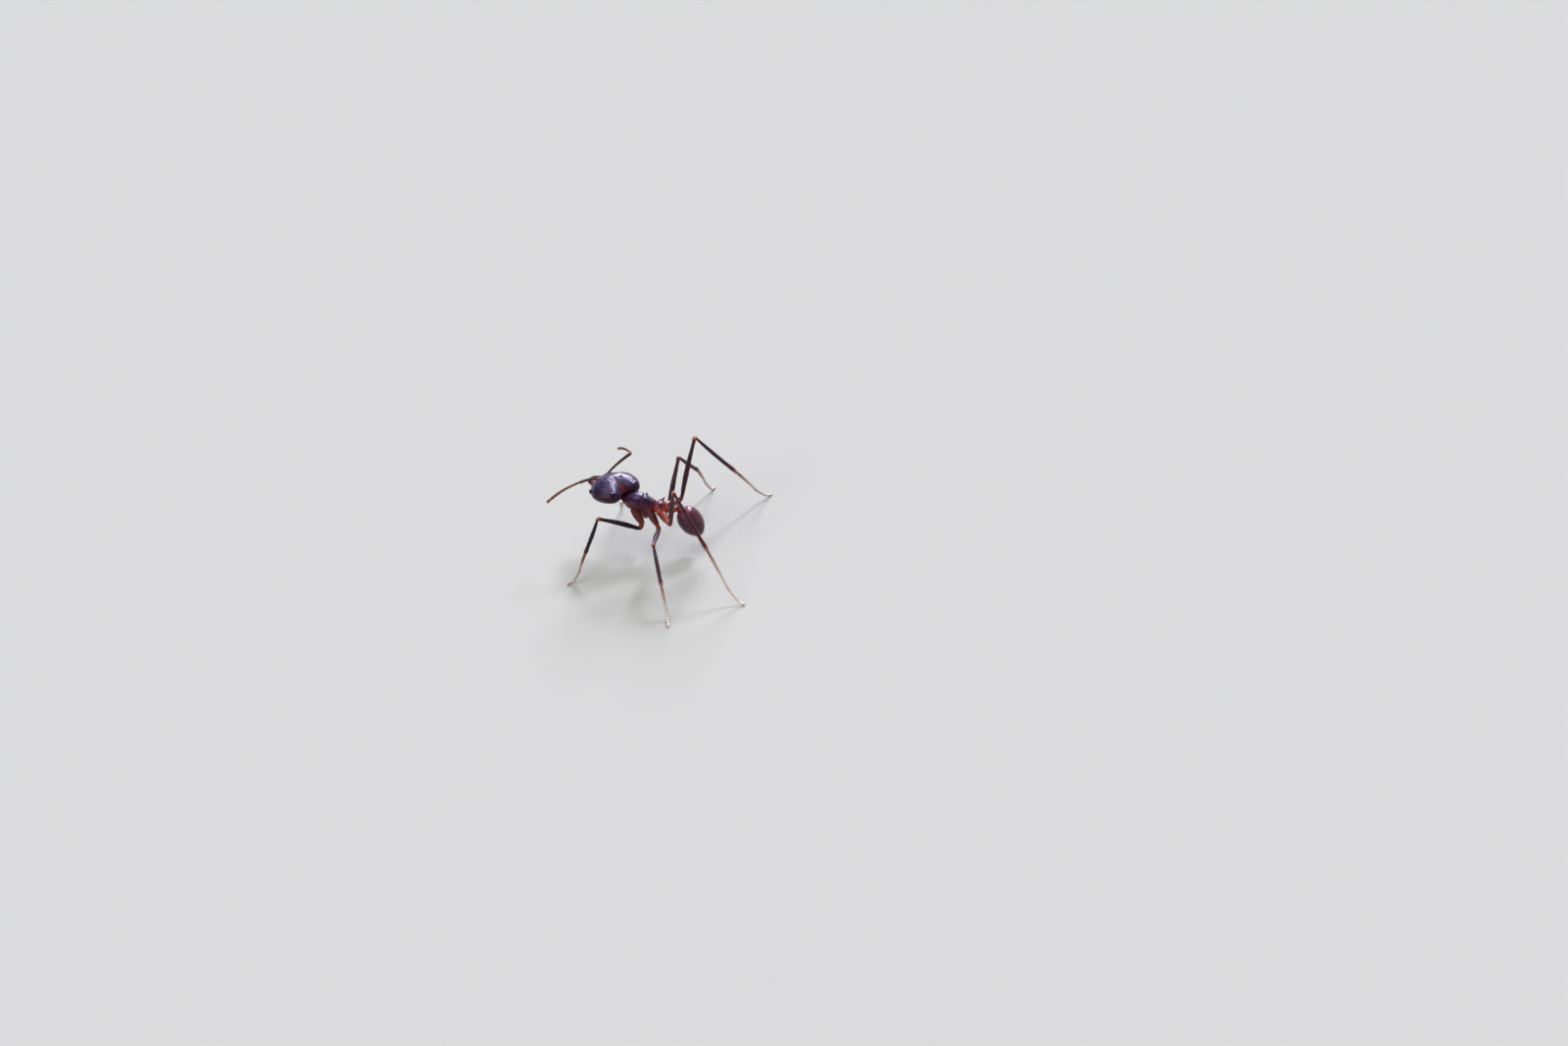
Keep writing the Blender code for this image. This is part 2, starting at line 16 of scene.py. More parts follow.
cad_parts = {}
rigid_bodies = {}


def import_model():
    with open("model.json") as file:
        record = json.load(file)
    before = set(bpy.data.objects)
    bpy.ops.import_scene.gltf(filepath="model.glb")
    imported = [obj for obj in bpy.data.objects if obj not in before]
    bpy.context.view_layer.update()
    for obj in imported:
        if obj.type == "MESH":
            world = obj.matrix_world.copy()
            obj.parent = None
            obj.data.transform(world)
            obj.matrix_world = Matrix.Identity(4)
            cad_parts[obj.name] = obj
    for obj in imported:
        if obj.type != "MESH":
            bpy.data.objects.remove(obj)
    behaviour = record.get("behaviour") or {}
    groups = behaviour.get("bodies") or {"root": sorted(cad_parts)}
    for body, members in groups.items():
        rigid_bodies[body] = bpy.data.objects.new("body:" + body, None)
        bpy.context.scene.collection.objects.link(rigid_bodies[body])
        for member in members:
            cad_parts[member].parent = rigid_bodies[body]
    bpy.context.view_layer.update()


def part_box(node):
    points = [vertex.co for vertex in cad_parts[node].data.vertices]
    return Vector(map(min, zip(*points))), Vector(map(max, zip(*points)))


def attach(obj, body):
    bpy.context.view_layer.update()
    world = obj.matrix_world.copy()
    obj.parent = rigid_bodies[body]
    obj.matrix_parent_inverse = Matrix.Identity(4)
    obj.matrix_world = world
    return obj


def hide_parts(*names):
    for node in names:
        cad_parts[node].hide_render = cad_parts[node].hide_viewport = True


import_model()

MM = 0.001                          # shapes are made in millimetres and brought to metres at the end
SIDES = {"left": 1.0, "right": -1.0}
PLACE = np.array((-0.832, -0.344, 0.0))     # the spot under the trunk that ant and view are set out from


def put(name, data):
    """A new object in the scene."""
    piece = bpy.data.objects.new(name, data)
    bpy.context.scene.collection.objects.link(piece)
    return piece


# %% [markdown]
# ## Camera
# The ant is small in a wide picture. A long lens from 60 cm away keeps its legs from growing or
# shrinking with depth, as a macro lens does. The camera is turned a little about its own axis.
# Right, up and back are worked out from its azimuth, rise and roll, and they fill the matrix.

# %% Camera
CAMERA_AZIMUTH, CAMERA_RISE, CAMERA_ROLL = (math.radians(a) for a in (111.70, 32.93, -12.13))
CAMERA_DISTANCE = 600.0
VIEW_WIDTH = 123.08                 # how much the picture is across, at the ant
VIEW_SHIFT = (9.667, 2.188)         # centre of the picture from the ant's spot, right and up
SENSOR_WIDTH = 36.0
NEAREST, FARTHEST = 0.05, 10.0      # metres that the camera sees between


def camera_axes():
    """Right, up and back directions of the camera."""
    a, e, r = CAMERA_AZIMUTH, CAMERA_RISE, CAMERA_ROLL
    right = np.array((math.cos(a), math.sin(a), 0.0))
    up = np.array((-math.sin(a) * math.sin(e), math.cos(a) * math.sin(e), math.cos(e)))
    rolled_right = math.cos(r) * right + math.sin(r) * up
    rolled_up = -math.sin(r) * right + math.cos(r) * up
    return rolled_right, rolled_up, np.cross(rolled_right, rolled_up)


def place_camera():
    """Stands the camera in its place and makes it the scene's own."""
    right, up, back = camera_axes()
    aim = PLACE + VIEW_SHIFT[0] * right + VIEW_SHIFT[1] * up
    lens = bpy.data.cameras.new("camera")
    lens.sensor_width = SENSOR_WIDTH
    lens.lens = SENSOR_WIDTH * CAMERA_DISTANCE / VIEW_WIDTH
    lens.clip_start, lens.clip_end = NEAREST, FARTHEST
    matrix = np.eye(4)
    matrix[:3] = np.stack([right, up, back, (aim + back * CAMERA_DISTANCE) * MM], 1)
    camera = put("camera", lens)
    camera.matrix_world = Matrix(matrix.tolist())
    bpy.context.scene.camera = camera
    return camera


camera = place_camera()
print("camera at", [round(c, 3) for c in camera.matrix_world.translation],
      "lens", round(camera.data.lens, 1))

# %% [markdown]
# ## Floor and light
# A pale matt floor and four wide soft lamps make a small studio. Each is a sun lamp whose
# disc is many degrees wide, so that it lights the floor evenly as far as the horizon. Polished shell
# shows its form by the long soft reflections of the lamps. The two lamps beyond the ant, as the
# camera sees it, are slightly violet, which is the tint that an open sky gives to dark red shell.
# The low one is the strongest, and it draws the bright line along the top of the head and trunk.
# The room round them is pale at the level of the floor and dimmer above, so that dark shell stays
# dark.

# %% Floor
FLOOR_REACH = 3.0                   # metres, far wider than the view
FLOOR_COLOUR, FLOOR_ROUGHNESS = (0.320, 0.328, 0.312, 1.0), 0.9


def floor():
    """A level floor of matt paper without any glare."""
    mesh = bpy.data.meshes.new("floor")
    corners = [(x * FLOOR_REACH, y * FLOOR_REACH, 0) for x, y in ((-1, -1), (1, -1), (1, 1), (-1, 1))]
    mesh.from_pydata(corners, [], [(0, 1, 2, 3)])
    paper = bpy.data.materials.new("pale_paper")
    paper.use_nodes = True
    shader = paper.node_tree.nodes["Principled BSDF"]
    shader.inputs["Base Color"].default_value = FLOOR_COLOUR
    shader.inputs["Roughness"].default_value = FLOOR_ROUGHNESS
    shader.inputs["Specular IOR Level"].default_value = 0.0
    mesh.materials.append(paper)
    piece = put("floor", mesh)


floor()
print("floor", 2 * FLOOR_REACH, "m wide")

# %% Lamps and room
LAMPS = {                   # direction towards it, how many degrees wide, strength, colour
    "lamp_above": ((0.11, -0.13, 1.0), 50.0, 1.9, (1.0, 0.99, 0.91)),
    "lamp_side": ((0.75, -0.50, 0.55), 40.0, 1.1, (1.0, 0.96, 0.90)),
    "lamp_behind": ((-0.60, 0.30, 0.74), 15.0, 3.0, (0.90, 0.87, 1.0)),
    "lamp_low": ((-0.84, -0.06, 0.45), 26.0, 4.9, (0.90, 0.87, 1.0)),
}
ROOM_STOPS = ((0.04, (0.69, 0.69, 0.69, 1)), (0.30, (0.13, 0.13, 0.15, 1)))    # height, colour of the room


def lamp(name, towards, width, strength, colour):
    """A wide soft sun."""
    light = bpy.data.lights.new(name, "SUN")
    light.angle = math.radians(width)
    light.energy = strength
    light.color = colour
    put(name, light).rotation_euler = (-Vector(towards)).to_track_quat("-Z", "Y").to_euler()


def room():
    """Light from all round: pale at the level of the floor, dimmer above."""
    world = bpy.data.worlds.new("studio")
    world.use_nodes = True
    nodes, links = world.node_tree.nodes, world.node_tree.links
    parts = nodes.new("ShaderNodeSeparateXYZ")
    ramp = nodes.new("ShaderNodeValToRGB")
    links.new(nodes.new("ShaderNodeTexCoord").outputs["Generated"], parts.inputs["Vector"])
    links.new(parts.outputs["Z"], ramp.inputs["Fac"])
    for element, (height, colour) in zip(ramp.color_ramp.elements, ROOM_STOPS):
        element.position, element.color = height, colour
    links.new(ramp.outputs["Color"], nodes["Background"].inputs["Color"])
    bpy.context.scene.world = world


room()
for name, settings in LAMPS.items():
    lamp(name, *settings)
bpy.context.scene.view_settings.view_transform = "Standard"
print("lamps:", *LAMPS)

# %% [markdown]
# ## The ant's measures
# These are the same named sizes that the solids were built from: where the trunk is, how the head is
# turned, and how each leg stands. With them a piece is made in its own simple frame, such as
# "so far along the trunk and so far to the side", and then put in place.

# %% Measures of trunk, head and feelers
TRUNK_CENTRE = np.array((0.0, -0.25, 4.50))
TRUNK_PITCH = math.radians(14.0)
TRUNK_LENGTH = 3.45
TRUNK_SECTIONS = (          # distance from the front end, half width, half height, middle
    (0.00, 0.36, 0.36, -0.12), (0.35, 0.60, 0.62, -0.06), (0.90, 0.74, 0.74, 0.05),
    (1.50, 0.62, 0.68, 0.08), (2.05, 0.50, 0.58, -0.02), (2.40, 0.46, 0.52, -0.08),
    (2.85, 0.50, 0.56, -0.04), (3.25, 0.36, 0.42, -0.14), (3.45, 0.22, 0.22, -0.22),
)
PRONOTUM_END, MESONOTUM_END = 1.28, 2.36
SPINES = {                  # distance, half spacing, length, lean to the rear in degrees
    "shoulder": (0.72, 0.46, 0.42, -10.0), "back": (1.55, 0.26, 0.30, 5.0),
    "rear": (2.82, 0.28, 0.44, 28.0),
}
HEAD_WIDTH, HEAD_LENGTH, HEAD_HEIGHT = 3.95, 4.00, 2.00
HEAD_YAW, HEAD_PITCH, HEAD_ROLL = (math.radians(a) for a in (35.0, -1.5, 6.0))
NECK_BACK, NECK_DROP = 0.375, 0.345
EYE_DIRECTION, EYE_OUTWARD = np.array((0.93, -0.30, 0.14)), np.array((1.0, -0.25, 0.10))
JAW_DIRECTION = np.array((0.30, -0.95, -0.02))
SCAPE_DIRECTION = np.array((0.24, -0.72, 0.65))
SCAPE_LENGTH, FEELER_LENGTH = 2.75, 3.70
FEELERS = {                 # direction of the scape and of the rest, in the head's frame
    "left": ((2.40, 0.85, 1.05), (1.50, -2.65, -2.05)),
    "right": ((-2.35, 0.55, 1.25), (-1.00, -3.00, -1.10)),
}

# %% Measures of waist, gaster and legs
PETIOLE_STEP = np.array((0.0, 0.62, 0.10))
POSTPETIOLE_STEP = np.array((0.0, 0.50, 0.04))
GASTER_DROOP = math.radians(64.0)
GASTER_SECTIONS = (
    (0.00, 0.24, 0.24), (0.20, 0.60, 0.56), (0.58, 0.88, 0.82), (1.14, 1.00, 0.94),
    (1.70, 0.92, 0.88), (2.18, 0.68, 0.66), (2.48, 0.42, 0.41), (2.66, 0.14, 0.14),
)
GASTER_CUTS = (0.0, 1.68, 2.06, 2.37, 2.66)
LEG_LENGTHS = {             # coxa, trochanter, femur, tibia, first tarsal joint, rest of the tarsus
    "front": (1.46, 0.45, 3.75, 3.05, 1.73, 1.25), "middle": (1.48, 0.45, 4.25, 3.43, 2.16, 1.41),
    "hind": (1.58, 0.45, 5.15, 5.15, 3.50, 1.71),
}
COXA_BASES = {"front": (0.34, -1.30, 4.30), "middle": (0.28, -0.12, 4.10), "hind": (0.22, 0.75, 3.98)}
STANCE = {                  # azimuth and rise of coxa, femur, tibia, first tarsal joint; then the toe
    ("left", "front"): ((158, -68), (35, 35), (38, -58), (39, -60), 26),
    ("left", "middle"): ((135, -43), (103, 18), (111, -33), (111, -63), 108),
    ("left", "hind"): ((131, -15), (129, 59), (143, -53), (142, -56), 157),
    ("right", "front"): ((156, -70), (52, 30), (54, -52), (54, -58), 54),
    ("right", "middle"): ((136, -44), (97, 38), (102, -51), (102, -67), 101),
    ("right", "hind"): ((130, -10), (136, 65), (138, -59), (117, -59), 123),
}
TOE_LENGTH, TOE_HEIGHT = 0.38, 0.15
print("trunk", TRUNK_LENGTH, "mm long; legs reach", *[round(sum(v), 1) for v in LEG_LENGTHS.values()], "mm")

# %% Joints of the legs
BOX_SLACK = 0.3             # how far a knee may lie outside its solid's box


def compass(azimuth, rise, side):
    """Unit direction from degrees: azimuth 0 is straight ahead of the ant, 90 out to the side."""
    azimuth, rise = math.radians(azimuth), math.radians(rise)
    level = math.cos(rise)
    return np.array((side * math.sin(azimuth) * level, -math.cos(azimuth) * level, math.sin(rise)))


def leg_joints(side_name, which):
    """Hip, ends of coxa and trochanter, knee, ends of tibia and first tarsal joint, knuckle, tip."""
    side = SIDES[side_name]
    coxa, trochanter, femur, tibia, first, rest = LEG_LENGTHS[which]
    coxa_turn, femur_turn, tibia_turn, first_turn, rest_azimuth = STANCE[(side_name, which)]
    down, thigh = compass(*coxa_turn, side), compass(*femur_turn, side)
    joints = [PLACE + np.array(COXA_BASES[which]) * (side, 1, 1)]
    joints.append(joints[-1] + down * coxa)
    joints.append(joints[-1] + (down + thigh) / np.linalg.norm(down + thigh) * trochanter)
    joints.append(joints[-1] + thigh * femur)
    joints.append(joints[-1] + compass(*tibia_turn, side) * tibia)
    joints.append(joints[-1] + compass(*first_turn, side) * first)
    rest -= TOE_LENGTH
    fall = math.degrees(math.asin((TOE_HEIGHT - joints[-1][2]) / rest))
    joints.append(joints[-1] + compass(rest_azimuth, fall, side) * rest)
    joints.append(joints[-1] + compass(rest_azimuth, 0, side) * TOE_LENGTH)
    return joints


for key in STANCE:
    knee, box = leg_joints(*key)[3], np.array(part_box("femur_" + "_".join(key))) / MM
    inside = np.all((box[0] - BOX_SLACK < knee) & (knee < box[1] + BOX_SLACK))
    print("leg", *key, "knee", np.round(knee, 2), "on its solid" if inside else "AWAY FROM ITS SOLID")

# %% [markdown]
# ## Tools for shapes
# Nearly every part of an insect is a tube of shell: it has a path, a thickness that changes along
# it, and a closed end. `smooth` draws a soft curve through a few named thicknesses, `sweep` lays
# rings round a path without twisting them, and `tube` turns rings into a closed mesh.
# Each vertex also stores four small facts that materials and hairs use later: how pale the
# shell is there (tone), which way the hairs lie (lie), how many there are (coat), and its place
# on the unrolled skin (root).

# %% Soft curves
def unit(v):
    """A direction of length one, or several in rows."""
    v = np.asarray(v, float)
    return v / np.maximum(np.linalg.norm(v, axis=-1, keepdims=True), 1e-12)


def smooth(table, t):
    """Values at t on a soft curve through rows of place, value, value..."""
    table, t = np.array(table, float), np.atleast_1d(np.asarray(t, float))
    x, y = table[:, 0], table[:, 1:]
    slope = np.gradient(y, x, axis=0)
    k = np.clip(np.searchsorted(x, t, side="right") - 1, 0, len(x) - 2)
    h = (x[k + 1] - x[k])[:, None]
    s = np.clip((t - x[k])[:, None] / h, 0, 1)
    a, b = 2 * s ** 3 - 3 * s ** 2 + 1, s ** 3 - 2 * s ** 2 + s
    c, d = 3 * s ** 2 - 2 * s ** 3, s ** 3 - s ** 2
    return a * y[k] + b * h * slope[k] + c * y[k + 1] + d * h * slope[k + 1]


def bell(distance, width):
    """One in the middle, falling softly to nothing beyond the width."""
    return np.exp(-(np.asarray(distance) / width) ** 2)


def step(x, low, high):
    """Rises softly from 0 at low to 1 at high."""
    s = np.clip((np.asarray(x, float) - low) / (high - low), 0, 1)
    return s * s * (3 - 2 * s)


def rounded(t, start, end):
    """Factor that closes a tube's thickness like a dome over the first and last share of it."""
    first = np.sqrt(np.clip(1 - (1 - np.clip(t / start, 0, 1)) ** 2, 0, 1)) if start else 1.0
    last = np.sqrt(np.clip(1 - (1 - np.clip((1 - t) / end, 0, 1)) ** 2, 0, 1)) if end else 1.0
    return first * last


print("half way along 1, 3, 2:", smooth([(0, 1), (0.5, 3), (1, 2)], 0.5)[0])

# %% Paths and rings
def stations(count):
    """Places from 0 to 1 that crowd towards both ends, where a tube closes."""
    return 0.5 - 0.5 * np.cos(np.pi * np.linspace(0.0, 1.0, count))


def around(sides):
    """Angles once round a section."""
    return np.linspace(0, 2 * np.pi, sides, endpoint=False)


def share_round(x, y):
    """How far round a section a place is, from 0 to 1."""
    return np.arctan2(x, y) / (2 * np.pi) + 0.5


def sweep(path, radii, sides=20, guide=(0.0, 0.0, 1.0)):
    """Rings round a path. The guide says which way is up at the start."""
    path, radii = np.asarray(path, float), np.asarray(radii, float)
    tangent = unit(np.gradient(path, axis=0))
    across = unit(np.cross(tangent[0], np.asarray(guide, float)))
    turns = around(sides)
    rings = []
    for point, axis, radius in zip(path, tangent, radii):
        across = unit(across - axis * across.dot(axis))
        over = np.cross(axis, across)
        rings.append(point + radius * (np.outer(np.cos(turns), across) + np.outer(np.sin(turns), over)))
    return np.array(rings)


print("five stations:", np.round(stations(5), 2))

# %% A shape that carries facts
def write_facts(mesh, facts):
    """Stores rows of name, kind and values on the vertices of a mesh."""
    for name, kind, values in facts:
        attribute = mesh.attributes.new(name, kind, "POINT")
        key = "value" if kind == "FLOAT" else "vector"
        attribute.data.foreach_set(key, np.ascontiguousarray(values, np.float32).ravel())


def read_rows(items, key):
    """Reads three numbers from each vertex, or whatever else the items are."""
    values = np.zeros(len(items) * 3)
    items.foreach_get(key, values)
    return values.reshape(-1, 3)


class Shape:
    """Vertices and faces in millimetres, with the facts that each vertex carries."""

    def __init__(self, points, faces, tone=0.0, lie=(0, 0, 0), coat=0.0, root=(0, 0)):
        self.points, self.faces = np.asarray(points, float), list(faces)
        count = len(self.points)
        self.tone = np.broadcast_to(np.asarray(tone, float), (count,)).copy()
        self.coat = np.broadcast_to(np.asarray(coat, float), (count,)).copy()
        self.lie = np.broadcast_to(np.asarray(lie, float), (count, 3)).copy()
        self.root = np.broadcast_to(np.asarray(root, float), (count, 2)).copy()

    def outward(self):
        """Turns the faces round if the closed mesh is inside out."""
        corners = [[self.points[f[0]], self.points[f[k]], self.points[f[k + 1]]]
                   for f in self.faces for k in range(1, len(f) - 1)]
        a, b, c = np.array(corners).transpose(1, 0, 2)
        if np.einsum("ij,ij->i", a, np.cross(b, c)).sum() < 0:
            self.faces = [tuple(reversed(f)) for f in self.faces]
        return self

    def moved(self, matrix):
        """The same shape after a 4 by 4 matrix."""
        turn, shift = matrix[:3, :3], matrix[:3, 3]
        self.points = self.points @ turn.T + shift
        self.lie = self.lie @ turn.T
        return self.outward()

    def object(self, name):
        """A Blender object in millimetres."""
        mesh = bpy.data.meshes.new(name)
        mesh.from_pydata(self.points.tolist(), [], self.faces)
        write_facts(mesh, (("tone", "FLOAT", self.tone), ("coat", "FLOAT", self.coat),
                           ("lie", "FLOAT_VECTOR", self.lie), ("root", "FLOAT2", self.root)))
        mesh.shade_smooth()
        mesh.update()
        return put(name, mesh)


def joined(shapes):
    """Several shapes as one."""
    starts = np.cumsum([0] + [len(s.points) for s in shapes])
    faces = [tuple(i + start for i in f) for s, start in zip(shapes, starts) for f in s.faces]
    points, *facts = (np.concatenate([getattr(s, key) for s in shapes])
                      for key in ("points", "tone", "lie", "coat", "root"))
    return Shape(points, faces, *facts)


print("each vertex carries", len(vars(Shape([], []))) - 2, "facts")

# %% Tubes and eggs
POLE_GAP = 0.03             # angle left open at an egg's poles, which the tube's ends then close


def tube(rings, tone=0.0, coat=0.0, lie=None):
    """A closed shape through rings. Tone and coat may be given for each ring."""
    rows, sides, _ = rings.shape

    def corner(row, side):
        return row * sides + side % sides

    def spread(values):
        """Gives each ring's values to its vertices, and the end rings' to the two end points."""
        return np.concatenate([np.repeat(values, sides, axis=0), values[[0, -1]]])

    points = np.vstack([rings.reshape(-1, 3), rings[[0, -1]].mean(axis=1)])
    faces = [(corner(j, k), corner(j, k + 1), corner(j + 1, k + 1), corner(j + 1, k))
             for j in range(rows - 1) for k in range(sides)]
    first, last = rows * sides, rows * sides + 1
    for k in range(sides):
        faces.append((first, corner(0, k + 1), corner(0, k)))
        faces.append((last, corner(rows - 1, k), corner(rows - 1, k + 1)))
    v, u = np.meshgrid(np.linspace(0, 1, rows), np.linspace(0, 1, sides, endpoint=False), indexing="ij")
    root = np.vstack([np.stack([u, v], -1).reshape(-1, 2), (0.5, 0.0), (0.5, 1.0)])
    centres = rings.mean(axis=1)
    along = unit(np.gradient(centres, axis=0)) if lie is None else np.broadcast_to(lie, (rows, 3))
    tone, coat = (spread(np.broadcast_to(np.asarray(fact, float), (rows,))) for fact in (tone, coat))
    return Shape(points, faces, tone, spread(along), coat, root).outward()


def ball(centre, sizes, turn=np.eye(3), rows=14, sides=20, **facts):
    """An egg shape with its long way along the turn's third column."""
    polar = np.linspace(POLE_GAP, np.pi - POLE_GAP, rows)
    turns = around(sides)
    rings = np.stack([np.outer(np.sin(polar), np.cos(turns)), np.outer(np.sin(polar), np.sin(turns)),
                      np.outer(-np.cos(polar), np.ones(sides))], -1)
    return tube((rings * np.asarray(sizes)) @ np.asarray(turn).T + centre, **facts)


print("an egg has", len(ball((0, 0, 0), (1, 1, 2)).faces), "faces")

# %% [markdown]
# ## Growing forms together
# A trunk is not one tube: spines, side plates and leg sockets swell out of it. The quick way to get
# one living surface is to let simple shapes overlap, then lay a fine even net over all of them, as
# clay is smoothed over joints. The Remesh modifier does that with small cubes (voxels), and a few
# rounds of smoothing take the steps out.

# %% Fuse overlapping shapes
def fuse(shapes, voxel, rounds):
    """One smooth closed shape from overlapping ones."""
    lump = joined(shapes).object("lump")
    remesh = lump.modifiers.new("remesh", "REMESH")
    remesh.mode = "VOXEL"
    remesh.voxel_size = voxel
    soften = lump.modifiers.new("soften", "SMOOTH")
    soften.factor, soften.iterations = 0.5, rounds
    mesh = bpy.data.meshes.new_from_object(lump.evaluated_get(bpy.context.evaluated_depsgraph_get()))
    made = Shape(read_rows(mesh.vertices, "co"), [tuple(f.vertices) for f in mesh.polygons])
    bpy.data.objects.remove(lump)
    bpy.data.meshes.remove(mesh)
    return made.outward()


def normals(shape):
    """Outward direction at each vertex."""
    mesh = bpy.data.meshes.new("probe")
    mesh.from_pydata(shape.points.tolist(), [], shape.faces)
    values = read_rows(mesh.vertex_normals, "vector")
    bpy.data.meshes.remove(mesh)
    return values


two_balls = [ball((0, 0, 0), (0.5, 0.5, 0.5)), ball((0.5, 0, 0), (0.3, 0.3, 0.3))]
print("two fused balls:", len(fuse(two_balls, 0.05, 4).points), "vertices")

# %% [markdown]
# ## Shell finishes
# Insect shell is hard, glossy and never one colour. Under the shine there is a dark pigment,
# maroon on the flanks of this ant and orange where the plate is thin at the joints; on its back
# the dark pigment is painted violet, as a painted sky reflection. The surface carries a net of
# tiny dimples that breaks its highlights into a satin glow. Each finish here mixes three colours
# by the tone of the vertex, clouds them with noise, and bumps the surface with fine cells and
# longer dents. A sheet of clear coat on top gives the hard glint.

# %% Short names for nodes
class Nodes:
    """A tree of nodes, of a material or of geometry."""

    def __init__(self, tree):
        self.tree = tree

    def feed(self, target, source):
        """Links a socket to an input, or sets the input to a value."""
        if isinstance(source, bpy.types.NodeSocket):
            self.tree.links.new(source, target)
        else:
            target.default_value = source

    def add(self, kind, inputs=(), **settings):
        """A node with its settings and what its inputs are fed with."""
        node = self.tree.nodes.new(kind)
        for key, value in settings.items():
            setattr(node, key, value)
        for key, source in dict(inputs).items():
            self.feed(node.inputs[key], source)
        return node

    def out(self, kind, inputs=(), output=0, **settings):
        """One output of a new node."""
        return self.add(kind, inputs, **settings).outputs[output]

    def math(self, operation, a, b):
        """Two numbers added, multiplied and so on."""
        return self.out("ShaderNodeMath", {0: a, 1: b}, operation=operation)


print("helpers for all nodes:", *[name for name in vars(Nodes) if not name.startswith("_")])

# %% Parts of a material
NOISE_ROUGHNESS = 0.55


class Finish(Nodes):
    """The nodes of one material."""

    def __init__(self, name):
        self.material = bpy.data.materials.new(name)
        self.material.use_nodes = True
        super().__init__(self.material.node_tree)
        self.coordinates = self.out("ShaderNodeTexCoord", output="Object")

    def noise(self, per_mm, detail=4.0):
        """Cloudy noise with so many patches to the millimetre."""
        return self.out("ShaderNodeTexNoise", {"Vector": self.coordinates, "Scale": per_mm / MM,
                                               "Detail": detail, "Roughness": NOISE_ROUGHNESS}, "Fac")

    def cells(self, per_mm):
        """Distance to the middle of small cells, for dimples."""
        return self.out("ShaderNodeTexVoronoi",
                        {"Vector": self.coordinates, "Scale": per_mm / MM}, "Distance")

    def fact(self, name):
        """A number that the vertices carry."""
        return self.out("ShaderNodeAttribute", output="Fac", attribute_name=name)

    def range(self, value, low, high):
        """A value from 0 to 1 stretched over another range."""
        return self.out("ShaderNodeMapRange", {"Value": value, "To Min": low, "To Max": high}, "Result")

    def ramp(self, value, stops):
        """Colours at places from 0 to 1."""
        node = self.add("ShaderNodeValToRGB", {"Fac": value})
        ramp = node.color_ramp
        ramp.interpolation = "EASE"
        while len(ramp.elements) < len(stops):
            ramp.elements.new(0.5)
        for element, (place, colour) in zip(ramp.elements, stops):
            element.position = place
            element.color = (*colour, 1.0)
        return node.outputs["Color"]

    def bump(self, height, depth, **below):
        """Bumps that are so many millimetres deep, on top of the ones below."""
        return self.out("ShaderNodeBump",
                        {"Height": height, "Distance": depth * MM, "Strength": 1.0, **below})

    def shade(self, **inputs):
        """What the shader's inputs are fed with."""
        for key, source in inputs.items():
            self.feed(self.tree.nodes["Principled BSDF"].inputs[key.replace("_", " ")], source)


print("helpers for materials:", *[name for name in vars(Finish) if not name.startswith("_")])

# %% Shell
VIOLET = (0.32, 0.24, 1.0, 1.0)     # tint of the faint bloom that the finest down gives the shell
LILAC = (0.60, 0.46, 1.0, 1.0)      # tint of the glint on the darkest shell
WARM = (1.0, 0.80, 0.70, 1.0)       # and on brown and red shell
TONES = (0.0, 0.5, 1.0)             # tones of the three colours of a shell
CLOUDS, SPECKS = (1.6, 0.16), (14.0, 0.05)      # how many to the millimetre, how much they shift the tone


def shell(name, colours, bloom, coat, shine=0.5, tint=WARM, dimples=26.0, dimple_depth=0.0016,
          dents=5.0, dent_depth=0.008, gloss=(0.34, 0.48), depth=0.0):
    """Hard shell: its colours, how strong its bloom, clear coat and shine are, how many dimples and
    dents there are to the millimetre and how deep, how rough it is, and how deep light goes in."""
    n = Finish(name)
    clouds = n.range(n.noise(CLOUDS[0]), -CLOUDS[1], CLOUDS[1])
    specks = n.range(n.noise(SPECKS[0], 2.0), -SPECKS[1], SPECKS[1])
    tone = n.math("ADD", n.math("ADD", n.fact("tone"), clouds), specks)
    dented = n.bump(n.noise(dents, 3.0), dent_depth)
    n.shade(Base_Color=n.ramp(tone, list(zip(TONES, colours))),
            Roughness=n.range(n.noise(6.0, 3.0), *gloss),
            Normal=n.bump(n.cells(dimples), dimple_depth, Normal=dented),
            Sheen_Weight=bloom, Sheen_Roughness=0.35, Sheen_Tint=VIOLET, Coat_Weight=coat,
            Coat_Roughness=0.28, IOR=1.54, Specular_Tint=tint, Specular_IOR_Level=shine)
    if depth:
        n.shade(Subsurface_Weight=0.15, Subsurface_Scale=depth * MM, Subsurface_Radius=(1.0, 0.4, 0.2))
    return n.material


# The first colour of the head and trunk shells is near-black pigment painted violet, a painted sky
# reflection on their tops; the head's second colour, near-black maroon, is the painted shade of its
# underside.
DARK_PAINTED_SKY_VIOLET, MAROON, ORANGE = (0.0085, 0.0018, 0.027), (0.080, 0.0045, 0.008), (0.38, 0.060, 0.014)
HEAD_SHELL = shell("head_shell", (DARK_PAINTED_SKY_VIOLET, (0.016, 0.0012, 0.003), (0.11, 0.006, 0.008)),
                   bloom=0.08, coat=0.28, shine=0.22, tint=LILAC)
TRUNK_SHELL = shell("trunk_shell", (DARK_PAINTED_SKY_VIOLET, MAROON, ORANGE),
                    bloom=0.06, coat=0.34, shine=0.24, tint=LILAC, dimples=22.0, dent_depth=0.012)
RED_SHELL = shell("red_shell", ((0.026, 0.0032, 0.005), (0.17, 0.016, 0.009), (0.44, 0.090, 0.036)),
                  bloom=0.04, coat=0.10, shine=0.28, depth=0.10)
GASTER_SHELL = shell("gaster_shell", ((0.020, 0.0016, 0.008), (0.10, 0.006, 0.018), (0.32, 0.040, 0.020)),
                     bloom=0.06, coat=0.42, shine=0.26, tint=LILAC, dimples=30.0)
JAW_SHELL = shell("jaw_shell", ((0.005, 0.0012, 0.0012), (0.050, 0.0055, 0.004), (0.16, 0.026, 0.010)),
                  bloom=0.02, coat=0.15, shine=0.25, dimples=18.0, gloss=(0.22, 0.34))
